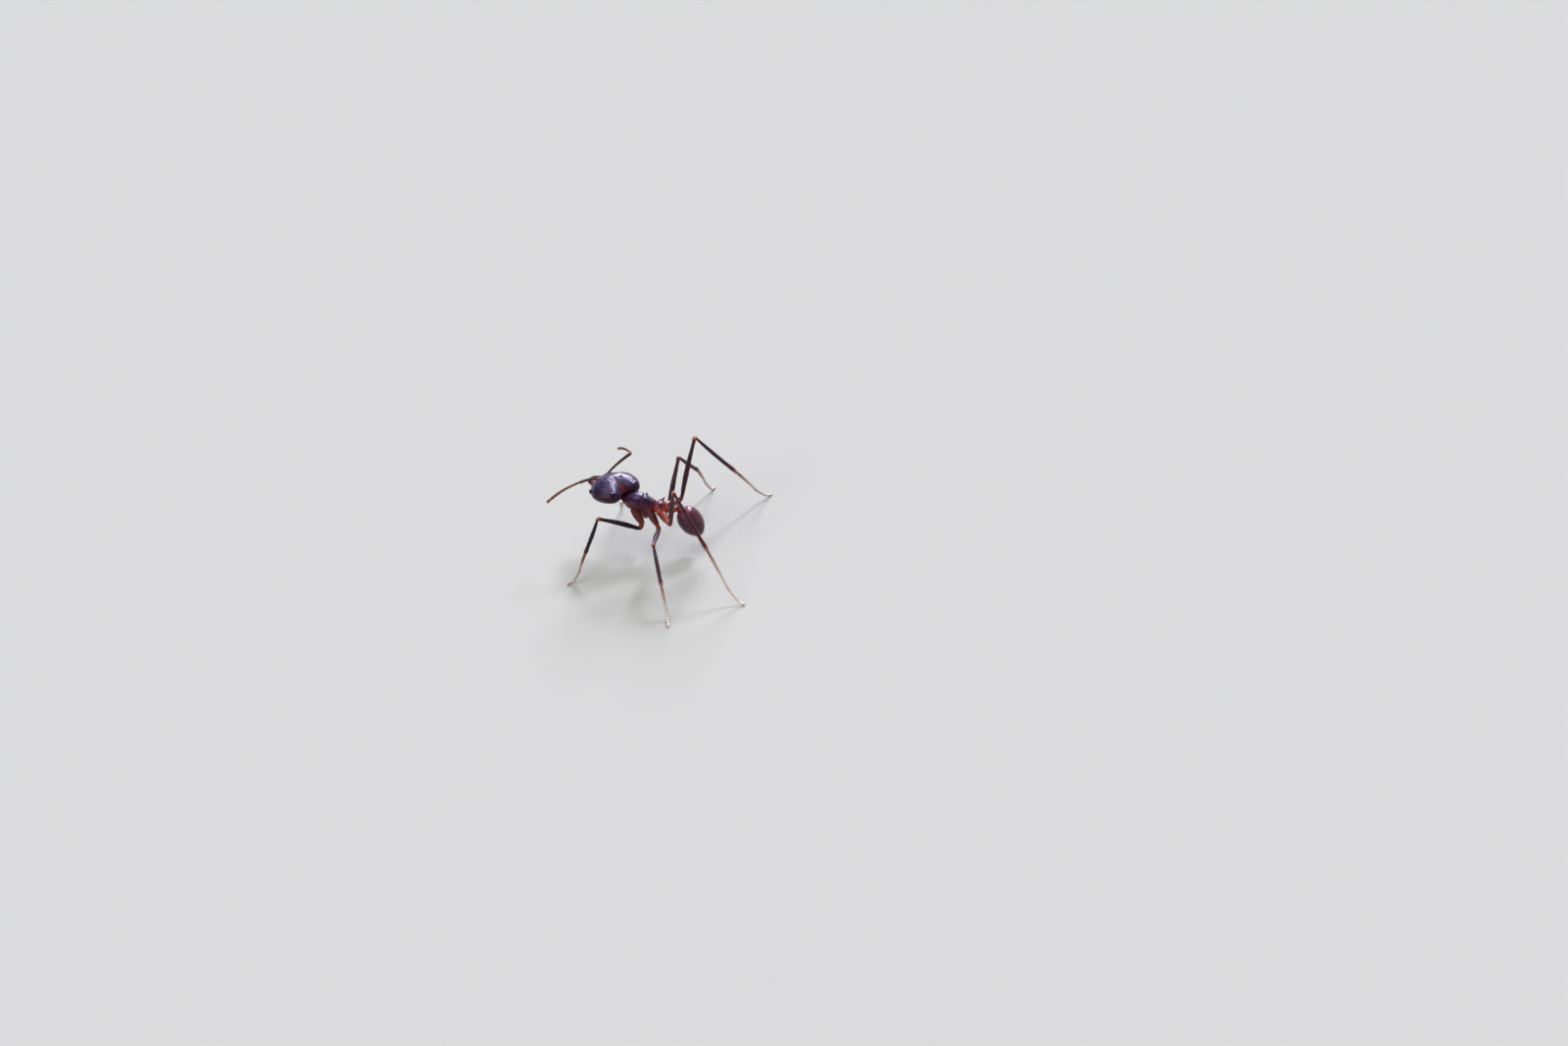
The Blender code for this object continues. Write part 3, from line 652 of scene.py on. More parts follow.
EYE_SHELL = shell("eye_shell", ((0.004, 0.003, 0.004), (0.012, 0.006, 0.010), (0.03, 0.012, 0.012)),
                  bloom=0.0, coat=0.1, shine=0.22, dimples=60.0, dimple_depth=0.0006, dent_depth=0.001,
                  gloss=(0.22, 0.34))
print("shells of head and body:", sorted(m.name for m in bpy.data.materials if m.name.endswith("shell")))

# %% Thinner shell of the limbs
LIMB_DENTS = 9.0            # to the millimetre
LEG_SHELL = shell("leg_shell", ((0.008, 0.0014, 0.0018), (0.080, 0.008, 0.007), (0.36, 0.11, 0.050)),
                  bloom=0.03, coat=0.14, shine=0.25, tint=LILAC, dimples=34.0, dents=LIMB_DENTS,
                  dent_depth=0.004)
TARSUS_SHELL = shell("tarsus_shell", ((0.15, 0.042, 0.024), (0.48, 0.34, 0.28), (0.72, 0.67, 0.65)),
                     bloom=0.05, coat=0.10, dimples=34.0, dents=LIMB_DENTS, dent_depth=0.004, depth=0.06)
FEELER_SHELL = shell("feeler_shell", ((0.014, 0.0036, 0.003), (0.085, 0.018, 0.009), (0.27, 0.11, 0.050)),
                     bloom=0.04, coat=0.12, dimples=36.0, dents=LIMB_DENTS, dent_depth=0.003)
print("shells of the limbs:", LEG_SHELL.name, TARSUS_SHELL.name, FEELER_SHELL.name)

# %% Bristles
def hair_finish(name, root_colour, tip_colour):
    """Stiff clear bristles, darker at the root."""
    n = Finish(name)
    tone = n.math("ADD", n.fact("strand_height"), n.range(n.noise(3.0), -0.25, 0.25))
    n.shade(Base_Color=n.ramp(tone, [(0.0, root_colour), (1.0, tip_colour)]),
            Roughness=n.range(n.noise(8.0), 0.30, 0.45), Sheen_Weight=0.3, Subsurface_Weight=0.1,
            Subsurface_Scale=0.02 * MM)
    return n.material


GOLD_HAIR = hair_finish("gold_hair", (0.040, 0.012, 0.007), (0.20, 0.090, 0.045))
DARK_HAIR = hair_finish("dark_hair", (0.010, 0.004, 0.004), (0.055, 0.025, 0.018))
PALE_HAIR = hair_finish("pale_hair", (0.28, 0.16, 0.10), (0.60, 0.48, 0.40))
print("hair:", sorted(m.name for m in bpy.data.materials if m.name.endswith("hair")))

# %% [markdown]
# ## Putting a piece in the scene
# A finished piece sits at the origin with its place in its mesh. `dress` brings a piece to
# metres, gives it its finish, ties it to the ant's one body and hides the plain solids that it
# stands for. `present` does so for a shape and keeps it, because the hairs grow from it later.

# %% Present a piece
skins = {}


def dress(piece, finish, nodes=()):
    """Makes an object in millimetres a finished piece of the ant in place of the named solids."""
    piece.data.transform(Matrix.Scale(MM, 4))
    piece.data.materials.clear()
    piece.data.materials.append(finish)
    piece.data.shade_smooth()
    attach(piece, "root")
    if nodes:
        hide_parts(*nodes)


def present(name, shape, finish, slot, *nodes):
    """Shows a shape as a finished piece."""
    skins[name] = shape
    dress(shape.object(name), finish, nodes)


print("finishes to choose from:", sum(m.name.endswith(("shell", "hair")) for m in bpy.data.materials))

# %% [markdown]
# ## Head
# The head is a heart: two great rear lobes full of jaw muscle, a cleft between them, and a face
# that narrows to the jaws. It starts as a ball made from a cube's even grid, so that no pole shows,
# and one function shapes it. Then fine relief goes on along the outward direction: the groove down
# the middle, the two ridges that guard the feelers' sockets, the sockets, the plate above the
# mouth, rims round the eyes and small horns on the lobes.

# %% Where the head hangs
def trunk_point(distance, side=0.0, height=0.0):
    """Places on the trunk from its front end, in the ant's own frame."""
    rear = np.array((0.0, math.cos(TRUNK_PITCH), -math.sin(TRUNK_PITCH)))
    over = np.array((0.0, math.sin(TRUNK_PITCH), math.cos(TRUNK_PITCH)))
    start = PLACE + TRUNK_CENTRE - rear * TRUNK_LENGTH / 2
    return (start + np.multiply.outer(distance, rear) + np.multiply.outer(side, (1.0, 0.0, 0.0))
            + np.multiply.outer(height, over))


def head_matrix():
    """Place and turn of the head: it hangs on the neck, in front of the trunk."""
    turn = np.array(Matrix.Rotation(-HEAD_YAW, 4, "Z") @ Matrix.Rotation(-HEAD_PITCH, 4, "X")
                    @ Matrix.Rotation(-HEAD_ROLL, 4, "Y"))
    neck = np.array((0.0, NECK_BACK * HEAD_LENGTH, -NECK_DROP * HEAD_HEIGHT))
    turn[:3, 3] = trunk_point(0.0, 0.0, TRUNK_SECTIONS[0][3]) - turn[:3, :3] @ neck
    return turn


def in_ant(place):
    """A place of the head's frame in the ant's frame."""
    return HEAD[:3, :3] @ place + HEAD[:3, 3]


HEAD = head_matrix()

# %% Form of the head
HEAD_TAPER, HEAD_FLARE, LOBE_REACH = 0.40, 0.06, 0.18
CLEFT_WIDTH, CLEFT_DEPTH, CLEFT_SINK = 0.42, 0.46, 0.40
CLEFT_UNDERNEATH = 0.30             # share of the cleft's sink that is left on the underside
FACE_SLOPE, FACE_DROP = 0.30, 0.10


def eased(x, soft=0.15):
    """Grows from 0 to 1 like x, but starts level, so that no crease shows where it starts."""
    return (np.sqrt(x * x + soft * soft) - soft) / (math.sqrt(1 + soft * soft) - soft)


def head_surface(ball_points):
    """Points of the head for points of the unit ball: left, back, up."""
    x, y, z = np.atleast_2d(ball_points).T
    rear, front = np.clip(y, 0, None), np.clip(-y, 0, None)
    middle = bell(x, CLEFT_WIDTH)
    width = 1 - HEAD_TAPER * front ** 1.3 + HEAD_FLARE * rear
    back = y * (1 + LOBE_REACH * rear) - CLEFT_DEPTH * middle * rear ** 1.6
    over = (1 + CLEFT_UNDERNEATH) / 2 + (1 - CLEFT_UNDERNEATH) / 2 * np.tanh(6 * z)
    height = 1 - FACE_SLOPE * front ** 1.5 - CLEFT_SINK * middle * eased(rear) * over
    return np.stack([x * width * HEAD_WIDTH / 2, back * HEAD_LENGTH / 2,
                     z * height * HEAD_HEIGHT / 2 - FACE_DROP * eased(front) * HEAD_HEIGHT], -1)


def head_place(direction, side=1.0, depth=1.0):
    """A place on the head's surface in a direction from its centre, or part of the way there."""
    return head_surface(unit(np.asarray(direction) * (side, 1, 1)))[0] * depth


print("the cleft's floor lies at", np.round(head_place((0, 1, 0)), 2), "and a lobe's end at",
      np.round(head_place((0.5, 0.86, 0)), 2))

# %% Marks on the head
HOLLOWS = (         # direction; width and height in the middle; place, width and height of the rim
    (SCAPE_DIRECTION, 5.0, -0.13, 8.0, 2.5, 0.035), (EYE_DIRECTION, 6.0, -0.030, 9.5, 2.0, 0.020),
    (JAW_DIRECTION, 7.0, -0.060, 11.0, 2.5, 0.030),
)
HORN = ((0.60, 0.72, 0.42), 3.2, 0.15)          # on the lobe: direction, width in degrees, height
BROW = ((0.30, 0.25, 0.92), 3.5, 0.05)          # the lower one in front of it
STROKES = (         # start and end, left and back; width and height
    ((0.13, -0.80), (0.34, -0.38), 0.050, 0.075),       # ridge that guards the feeler's socket
    ((0.34, -0.66), (0.66, -0.08), 0.075, -0.050),      # channel in which the feeler can lie
    ((0.50, -0.80), (0.80, -0.45), 0.050, 0.030),       # ridge down the cheek
)


def from_segment(points, start, end):
    """Distance of points from a straight stroke."""
    start, end = np.array(start), np.array(end)
    t = np.clip((points - start) @ (end - start) / ((end - start) @ (end - start)), 0, 1)
    return np.linalg.norm(points - start - np.outer(t, end - start), axis=1)


def degrees_from(points, direction):
    """Angle of points of the unit ball from a direction."""
    return np.degrees(np.arccos(np.clip(points @ unit(direction), -1, 1)))


def head_marks(mirrored):
    """Height of the marks that both sides of the head have."""
    height = sum(depth * bell(degrees_from(mirrored, way), width)
                 + lift * bell(degrees_from(mirrored, way) - rim, rim_width)
                 for way, width, depth, rim, rim_width, lift in HOLLOWS)
    height += HORN[2] * bell(degrees_from(mirrored, HORN[0]), HORN[1]) ** 0.7
    height += BROW[2] * bell(degrees_from(mirrored, BROW[0]), BROW[1])
    above = step(mirrored[:, 2], -0.1, 0.25)
    return height + sum(lift * bell(from_segment(mirrored[:, :2], start, end), width) * above
                        for start, end, width, lift in STROKES)


print("marks on each side:", len(HOLLOWS), "hollows, 2 horns and", len(STROKES), "strokes")

# %% Relief and tone of the head
def head_relief(p):
    """Height of the fine relief over the plain form, in millimetres, and the tone of the shell, with
    painted shade on the underside.
    """
    x, y, z = p.T
    mirrored = np.stack([np.abs(x), y, z], -1)
    above = step(z, -0.1, 0.25)
    groove = bell(x, 0.045) * step(y, -0.30, 0.75) * above
    mouth_plate = step(-y, 0.80, 0.90) * bell(x, 0.42) * step(z, -0.50, -0.20)
    plate_seam = bell(y + 0.80, 0.02) * bell(x, 0.40) * step(z, -0.5, -0.2)
    plate_notch = bell(x, 0.10) * bell(z + 0.10, 0.12) * step(-y, 0.9, 1.0)
    chin = step(-y, 0.35, 0.85) * step(-z, 0.15, 0.60)
    chin_ridges = bell(np.abs(x) - 0.27, 0.05) * chin
    trough = bell(x, 0.20) * step(-y, 0.45, 0.70) * step(-z, 0.30, 0.50)
    throat_seam = bell(x, 0.03) * step(-z, 0.3, 0.7) * step(y, -0.45, -0.10)
    height = (head_marks(mirrored) - 0.055 * groove + 0.055 * mouth_plate - 0.16 * chin - 0.09 * trough
              + 0.025 * chin_ridges - 0.030 * (throat_seam + plate_seam + plate_notch))
    cleft = bell(x, 0.19) * step(y, 0.10, 0.80) * above
    socket, jaw = degrees_from(mirrored, SCAPE_DIRECTION), degrees_from(mirrored, JAW_DIRECTION)
    red = (0.30 * groove + 0.60 * cleft + 0.45 * bell(socket, 9.0) + 0.5 * bell(jaw, 13.0)
           + 0.30 * mouth_plate + 0.35 * trough + 0.15 * chin)
    # Painted shade: the underside's tone rises away from the painted violet sky reflection of the top to
    # near-black maroon.
    underside = 0.40 * step(-z, -0.70, 0.0)
    return height, 0.06 + red + underside


print("height and tone in the groove:", *np.round(head_relief(np.array([(0.0, 0.5, 0.87)])), 3).ravel())

# %% Grid of the head
HEAD_CUTS = 84                      # along each edge of the cube that the grid starts from
TILE_EDGE = 0.02                    # each side of the cube has a tile of the map, with this edge


def cube_grids():
    """Points of the unit ball, faces and unrolled places from the six sides of a cube."""
    line = np.tan(np.linspace(-1, 1, HEAD_CUTS + 1) * np.pi / 4)
    a, b = (g.ravel() for g in np.meshgrid(line, line, indexing="ij"))
    one = np.ones_like(a)
    sides = [(a, b, one), (b, a, -one), (one, a, b), (-one, b, a), (b, one, a), (a, -one, b)]
    share = np.linspace(TILE_EDGE, 1 - TILE_EDGE, HEAD_CUTS + 1)
    place = np.stack(np.meshgrid(share, share, indexing="ij"), -1).reshape(-1, 2)
    points = np.vstack([unit(np.stack(grid, -1)) for grid in sides])
    root = np.vstack([(place + (k % 3, k // 3)) / (3, 2) for k in range(6)])
    row = HEAD_CUTS + 1
    faces = [(c, c + row, c + row + 1, c + 1) for k in range(6) for i in range(HEAD_CUTS)
             for c in range(k * row ** 2 + i * row, k * row ** 2 + i * row + HEAD_CUTS)]
    return points, faces, root


def welded(shape):
    """The same shape with doubled vertices made one, and which vertices were kept."""
    _, kept, place = np.unique(np.round(shape.points, 6), axis=0, return_index=True, return_inverse=True)
    place = place.ravel()
    mesh = bmesh.new()
    vertices = [mesh.verts.new(p) for p in shape.points[kept]]
    for face in shape.faces:
        mesh.faces.new([vertices[place[i]] for i in face])
    mesh.verts.index_update()
    bmesh.ops.recalc_face_normals(mesh, faces=mesh.faces)
    faces = [tuple(v.index for v in f.verts) for f in mesh.faces]
    mesh.free()
    made = Shape(shape.points[kept], faces, shape.tone[kept], shape.lie[kept], shape.coat[kept],
                 shape.root[kept])
    return made.outward(), kept


def head_shape():
    """The head capsule in the ant's frame."""
    points, faces, root = cube_grids()
    height, tone = head_relief(points)
    forward = np.array((0.0, -1.0, 0.0)) - 0.35 * points * (1, 0, 0)
    coat = 0.3 + 0.7 * step(points[:, 2], -0.9, 0.2)
    shape, kept = welded(Shape(head_surface(points), faces, tone, forward, coat, root))
    shape.points = shape.points + normals(shape) * height[kept][:, None]
    return shape.moved(HEAD)


present("head_capsule", head_shape(), HEAD_SHELL, "head_shell", "head")
print("head:", len(skins["head_capsule"].faces), "faces")

# %% [markdown]
# ## Eyes
# An ant's eye is a low dome of several hundred tiny lenses. Each lens is the same, so Geometry
# Nodes set one small dome on every corner of a fine ball, where the corners lie almost in the
# honeycomb pattern of a real eye. The end of a tree makes the copies real and gives them their
# finish, because a finished model can't hold copies.

# %% Trees that make geometry
class Tree(Nodes):
    """A Geometry Nodes tree with named inputs for its sizes."""

    def __init__(self, name):
        super().__init__(bpy.data.node_groups.new(name, "GeometryNodeTree"))
        self.sockets = {}
        for way in ("INPUT", "OUTPUT"):
            self.tree.interface.new_socket("Geometry", in_out=way, socket_type="NodeSocketGeometry")
        self.inputs = self.tree.nodes.new("NodeGroupInput").outputs
        self.output = self.tree.nodes.new("NodeGroupOutput")

    def size(self, name, kind="Float"):
        """A named input of the tree."""
        self.sockets[name] = self.tree.interface.new_socket(name, in_out="INPUT",
                                                            socket_type="NodeSocket" + kind)
        return self.inputs[name]

    def fact(self, name, kind="FLOAT_VECTOR"):
        """A fact that the vertices carry."""
        return self.out("GeometryNodeInputNamedAttribute", {"Name": name}, "Attribute", data_type=kind)

    def store(self, geometry, name, value, kind, domain="POINT"):
        """The geometry with one more fact."""
        return self.out("GeometryNodeStoreNamedAttribute",
                        {"Geometry": geometry, "Name": name, "Value": value}, data_type=kind, domain=domain)

    def combine(self, **parts):
        """A vector from its X, Y and Z."""
        return self.out("ShaderNodeCombineXYZ", parts)

    def scale(self, vector, factor):
        """A vector made longer or shorter."""
        return self.out("ShaderNodeVectorMath", {0: vector, "Scale": factor}, operation="SCALE")

    def plus(self, a, b):
        """Two vectors added."""
        return self.out("ShaderNodeVectorMath", {0: a, 1: b}, operation="ADD")

    def aim(self, vector, axis="Z", inputs=(), **settings):
        """A turn that points an axis along a vector."""
        return self.out("FunctionNodeAlignRotationToVector", {"Vector": vector, **dict(inputs)}, axis=axis,
                        **settings)

    def copies(self, points, thing, turn, thick, tall):
        """A real mesh of copies on points, so thick and tall."""
        size = self.combine(X=thick, Y=thick, Z=tall)
        copies = self.out("GeometryNodeInstanceOnPoints",
                          {"Points": points, "Instance": thing, "Rotation": turn, "Scale": size})
        return self.out("GeometryNodeRealizeInstances", {"Geometry": copies})

    def finish(self, geometry):
        """Ends the tree with the finish."""
        paint = self.out("GeometryNodeSetMaterial",
                         {"Geometry": geometry, "Material": self.size("Finish", "Material")})
        self.feed(self.output.inputs[0], paint)
        return self


def grown(base, tree, **values):
    """The plain mesh that a tree makes on a base object. Sizes are set by socket identifier."""
    modifier = base.modifiers.new("grow", "NODES")
    modifier.node_group = tree.tree
    for name, value in values.items():
        modifier[tree.sockets[name.capitalize()].identifier] = value
    graph = bpy.context.evaluated_depsgraph_get()
    mesh = bpy.data.meshes.new_from_object(base.evaluated_get(graph), preserve_all_data_layers=True,
                                           depsgraph=graph)
    base.modifiers.remove(modifier)
    return mesh


print("helpers for trees:", *[name for name in vars(Tree) if not name.startswith("_")])

# %% A tree that sets a lens on every vertex
def lens_tree():
    """One small dome on each vertex, turned along the vertex's normal."""
    t = Tree("lenses")
    radius, height = t.size("Radius"), t.size("Height")
    dome = t.out("GeometryNodeMeshUVSphere", {"Segments": 6, "Rings": 4, "Radius": 1.0})
    kept = t.add("GeometryNodeCaptureAttribute", {"Geometry": t.inputs["Geometry"]})
    kept.capture_items.new("VECTOR", "Normal")
    t.feed(kept.inputs["Normal"], t.out("GeometryNodeInputNormal", output="Normal"))
    points = t.out("GeometryNodeMeshToPoints", {"Mesh": kept.outputs["Geometry"]})
    return t.finish(t.copies(points, dome, t.aim(kept.outputs["Normal"]), radius, height))


LENSES = lens_tree()
print("nodes in the lens tree:", len(LENSES.tree.nodes))

# %% The two eyes
EYE_RADIUS, EYE_NARROW, EYE_BULGE = 0.23, 0.90, 0.62     # millimetres, then shares of the radius
LENS_RADIUS, LENS_HEIGHT = 0.0125, 0.0085


def eye(side):
    """A smooth dark dome with a lens on every corner of its fine grid."""
    outward = Vector(unit(EYE_OUTWARD * (side, 1, 1)).tolist())
    turn = Vector((0, 0, 1)).rotation_difference(outward).to_matrix().to_4x4()
    size = Matrix.Diagonal((EYE_RADIUS * EYE_NARROW, EYE_RADIUS, EYE_RADIUS * EYE_BULGE, 1.0))
    centre = Matrix.Translation(head_place(EYE_DIRECTION, side).tolist())
    core, dome, whole = bpy.data.meshes.new("eye_core"), bmesh.new(), bmesh.new()
    bmesh.ops.create_icosphere(dome, subdivisions=5, radius=1.0,
                               matrix=Matrix(HEAD.tolist()) @ centre @ turn @ size)
    dome.to_mesh(core)
    base = put("eye_core", core)
    mesh = grown(base, LENSES, radius=LENS_RADIUS, height=LENS_HEIGHT, finish=EYE_SHELL)
    for part in (mesh, core):
        whole.from_mesh(part)
    whole.to_mesh(mesh)
    dome.free()
    whole.free()
    bpy.data.objects.remove(base)
    return mesh


for side_name, side in SIDES.items():
    name = "eye_%s_lenses" % side_name
    dress(put(name, eye(side)), EYE_SHELL, ["eye_" + side_name])

# %% [markdown]
# ## Jaws and palps
# A cutter's jaw is a bowed, three-cornered blade. Its inner edge has a row of teeth that grow
# towards the tip. The blade is a tube with a flat section whose inner side goes in and out with
# each tooth. Below the mouth hang small jointed feelers, the palps.

# %% Jaws
JAW_LENGTH, JAW_SINK = 1.45, 0.35
JAW_TEETH = 9.2                     # along the whole blade, if its root had teeth too
# Rows of place, outer edge, inner edge and half thickness.
JAW_TABLE = [(0.0, 0.60, 0.26, 0.24), (0.25, 0.68, 0.12, 0.25), (0.5, 0.66, 0.04, 0.20),
             (0.8, 0.47, 0.02, 0.13), (0.94, 0.24, 0.01, 0.08), (1.0, 0.08, 0.01, 0.03)]
TOOTH_RISE = 0.7                    # share of a tooth over which its edge rises, before it drops


def jaw_shape(side, rows=120, sides=22):
    """A toothed blade from inside the head to its tip."""
    t = np.linspace(0, 1, rows)
    outer, inner, thick = smooth(JAW_TABLE, t).T
    wave = (t * JAW_TEETH) % 1.0
    saw = np.where(wave < TOOTH_RISE, wave / TOOTH_RISE, (1 - wave) / (1 - TOOTH_RISE)) - 0.5
    inner = inner - step(t, 0.22, 0.30) * (1 - step(t, 0.93, 0.97)) * (0.02 + 0.05 * t) * saw
    half = np.maximum((outer - inner) / 2, 0.012)
    base = head_place(JAW_DIRECTION, side)
    c, s = np.cos(around(sides)), np.sin(around(sides))
    inner_thinner = 1 - 0.75 * step(-c, -0.2, 1.0)
    arch = base[2] + 0.10 * t * (1 - t)
    rings = np.stack([np.outer(half, c) + (inner + half)[:, None],
                      np.repeat((base[1] + JAW_SINK - JAW_LENGTH * t)[:, None], sides, 1),
                      np.outer(thick, s * inner_thinner) + arch[:, None]], -1)
    tone = 0.25 + 0.45 * bell(t - 0.30, 0.25) - 0.25 * step(t, 0.6, 1.0)
    return tube(rings * (side, 1, 1), tone, coat=0.5, lie=(0, -1, 0)).moved(HEAD)


for side_name, side in SIDES.items():
    present("jaw_" + side_name, jaw_shape(side), JAW_SHELL, "jaw", "mandible_" + side_name)
print("jaws:", len(skins["jaw_left"].faces), "faces each")

# %% Lip and palps
LONG_PALP = ((0.07, -0.16, -0.10), (0.03, -0.20, -0.06), (0.0, -0.20, 0.02), (-0.02, -0.15, 0.04))
SHORT_PALP = ((0.02, -0.15, -0.09), (0.01, -0.18, -0.02), (0.0, -0.13, 0.03))


def palp(base, steps, side, radius):
    """A tiny feeler of the mouth: its joints are thickened beads on one line."""
    corners = np.cumsum(np.vstack([base, np.array(steps) * (side, 1, 1)]), axis=0)
    t = stations(12)
    thickness = radius * (0.6 + 0.4 * np.sin(np.pi * t)) * rounded(t, 0.2, 0.2)
    return joined([tube(sweep(start + np.outer(t, end - start), thickness, 10), 0.55, 0.3)
                   for start, end in zip(corners, corners[1:])])


def mouth():
    """The lower lip, the plates beside it and the palps that hang from them."""
    lip = head_place((0.0, -0.82, -0.50), depth=0.955)
    run = unit(head_place((0.0, -0.95, -0.28)) - head_place((0.0, -0.62, -0.72)))
    turn = np.stack([(1.0, 0.0, 0.0), np.cross(run, (1.0, 0.0, 0.0)), run], 1)
    upper_lip = head_place((0.0, -0.99, -0.12))
    parts = [ball(lip + run * 0.05, (0.13, 0.07, 0.38), turn, rows=24, tone=0.25, coat=0.5),
             ball(upper_lip, (0.24, 0.07, 0.14), turn, rows=20, tone=0.30, coat=0.8)]
    for side in SIDES.values():
        plate = lip + (side * 0.20, 0.03, 0.02)
        parts.append(ball(plate, (0.10, 0.07, 0.42), turn, rows=24, tone=0.15, coat=0.7))
        parts.append(palp(plate + run * 0.30, LONG_PALP, side, 0.040))
        parts.append(palp(lip + run * 0.32 + (side * 0.06, 0.0, 0.0), SHORT_PALP, side, 0.034))
    return joined(parts).moved(HEAD)


present("palps", mouth(), JAW_SHELL, "jaw")
print("lip and palps:", len(skins["palps"].faces), "faces")

# %% [markdown]
# ## Feelers
# A feeler is elbowed. The scape is one long smooth club that turns in a ball in the face. The rest
# is a string of ten joints, longer and thicker towards the tip. The string follows a path, so one
# bead shape is set along it by Geometry Nodes, and each bead takes its length and thickness from
# named facts on the points of the path.

# %% A tree that strings beads along a path
def bead_tree():
    """Sets the bead object on each vertex, along its lie, as long and thick as the vertex says."""
    t = Tree("beads")
    bead = t.out("GeometryNodeObjectInfo", {"Object": t.size("Bead", "Object")}, "Geometry")
    points = t.out("GeometryNodeMeshToPoints", {"Mesh": t.inputs["Geometry"]})
    thick = t.math("MULTIPLY", t.fact("wide", "FLOAT"), t.size("Thickness"))
    return t.finish(t.copies(points, bead, t.aim(t.fact("lie")), thick, t.fact("long", "FLOAT")))


def bead(name, table, rows=20, sides=20):
    """A turned bead from z = 0 to 1, with thickness 1, as a hidden object for the tree."""
    t = stations(rows)
    thickness = smooth(table, t)[:, 0] * rounded(t, 0.08, 0.08)
    item = tube(sweep(np.outer(t, (0, 0, 1)), thickness, sides, guide=(0, 1, 0))).object(name)
    item.hide_render = item.hide_viewport = True
    return item


BEADS = bead_tree()
FEELER_BEAD = bead("feeler_bead", [(0, 0.62), (0.12, 0.80), (0.55, 1.0), (0.88, 0.98), (1, 0.66)])
TARSUS_BEAD = bead("tarsus_bead", [(0, 0.66), (0.25, 0.74), (0.75, 1.0), (0.92, 1.22), (1, 0.9)])
print("beads:", len(FEELER_BEAD.data.vertices), "vertices each")

# %% A string of beads
BEAD_REACH = 1.04                   # each bead is a little longer than its step, into the next one
NECK_TONE, NECK_SHARE = 0.22, 0.16          # how much paler a bead's thin end is, and over what share


def strung(path, widths, beads, item, tones):
    """Beads along a path. Gives them as a shape again, so that hairs can grow on them."""
    path = np.asarray(path, float)
    lengths = np.concatenate([[0], np.cumsum(np.linalg.norm(np.diff(path, axis=0), axis=1))])
    share = np.concatenate([[0], np.cumsum(beads)]) / np.sum(beads) * lengths[-1]
    knots = np.stack([np.interp(share, lengths, path[:, k]) for k in range(3)], -1)
    runs = np.diff(knots, axis=0)
    mesh = bpy.data.meshes.new("string")
    mesh.from_pydata(knots[:-1].tolist(), [], [])
    write_facts(mesh, (("lie", "FLOAT_VECTOR", unit(runs)), ("wide", "FLOAT", widths),
                       ("long", "FLOAT", np.linalg.norm(runs, axis=1) * BEAD_REACH)))
    base = put("string", mesh)
    made = grown(base, BEADS, bead=item, thickness=1.0)
    bpy.data.objects.remove(base)
    within = read_rows(item.data.vertices, "co")
    number = np.repeat(np.arange(len(runs)), len(within))
    height = np.tile(within[:, 2], len(runs))
    turn = np.tile(share_round(within[:, 1], within[:, 0]), len(runs))
    tone = np.interp((number + 0.5) / len(runs), (0, 1), tones) + NECK_TONE * bell(height, NECK_SHARE)
    root = np.stack([turn, (number + height) / len(runs)], -1)
    return Shape(read_rows(made.vertices, "co"), [tuple(f.vertices) for f in made.polygons], tone,
                 unit(runs)[number], 1.0, root).outward()


print("beads reach", round((BEAD_REACH - 1) * 100), "% into the next")

# %% The two feelers
SCAPE_TABLE = [(0, 0.10), (0.03, 0.115), (0.07, 0.070), (0.14, 0.082), (0.5, 0.105), (0.85, 0.125),
               (0.96, 0.130), (1, 0.10)]
FEELER_JOINTS = (1.30, 0.85, 0.85, 0.90, 0.92, 0.95, 0.98, 1.00, 1.02, 1.60)
FEELER_WIDTHS = (0.088, 0.084, 0.088, 0.093, 0.098, 0.103, 0.107, 0.110, 0.112, 0.108)
FEELER_TONES = (0.30, 0.75)         # of the first bead and the last
SCAPE_BOW, REST_BOW = 0.10, 0.16
SCAPE_SINK, ELBOW_SINK = 0.955, 0.93        # shares of the way to the surface that the two start from


def bowed(start, end, bow, rows):
    """A path between two points that arches upwards a little, most in its middle."""
    t = stations(rows)[:, None]
    lift = unit(np.cross(np.cross(end - start, (0.0, 0.0, 1.0)), end - start))
    return start + (end - start) * t + lift * bow * np.sin(np.pi * t)


def scape(start, end):
    """The long first joint, from its ball in the face to the elbow."""
    t = stations(60)
    radii = smooth(SCAPE_TABLE, t)[:, 0] * rounded(t, 0.03, 0.035)
    tone = 0.18 + 0.5 * bell(t - 0.06, 0.05) + 0.35 * bell(t - 1.0, 0.06)
    return tube(sweep(bowed(start, end, SCAPE_BOW, 60), radii, 24), tone, 0.8)


for side_name, side in SIDES.items():
    scape_run, rest_run = (unit(run) for run in FEELERS[side_name])
    root_place = in_ant(head_place(SCAPE_DIRECTION, side, SCAPE_SINK))
    elbow = head_place(SCAPE_DIRECTION, side, ELBOW_SINK) + scape_run * SCAPE_LENGTH
    tip = in_ant(elbow + rest_run * FEELER_LENGTH)
    elbow = in_ant(elbow)
    present("scape_%s_club" % side_name, scape(root_place, elbow), FEELER_SHELL, "feeler",
            "scape_" + side_name)
    string = strung(bowed(elbow, tip, REST_BOW, 40), FEELER_WIDTHS, FEELER_JOINTS, FEELER_BEAD,
                    FEELER_TONES)
    present("feeler_%s_joints" % side_name, string, FEELER_SHELL, "feeler", "funiculus_" + side_name)
    print("feeler", side_name, "elbow", np.round(elbow, 2), "tip", np.round(tip, 2))

# %% [markdown]
# ## Trunk
# The trunk carries all six legs. Seen from the side it is a hunched chain of three plates: a broad
# front plate with a spine at each shoulder, a domed middle plate with two short spines, and
# behind a deep groove the rear plate with the two longest spines. Its flanks swell over the leg
# muscles. All of it is fused into one skin, then grooves and dents are pressed in along the
# seams, and the skin is parted into its three plates in the grooves.

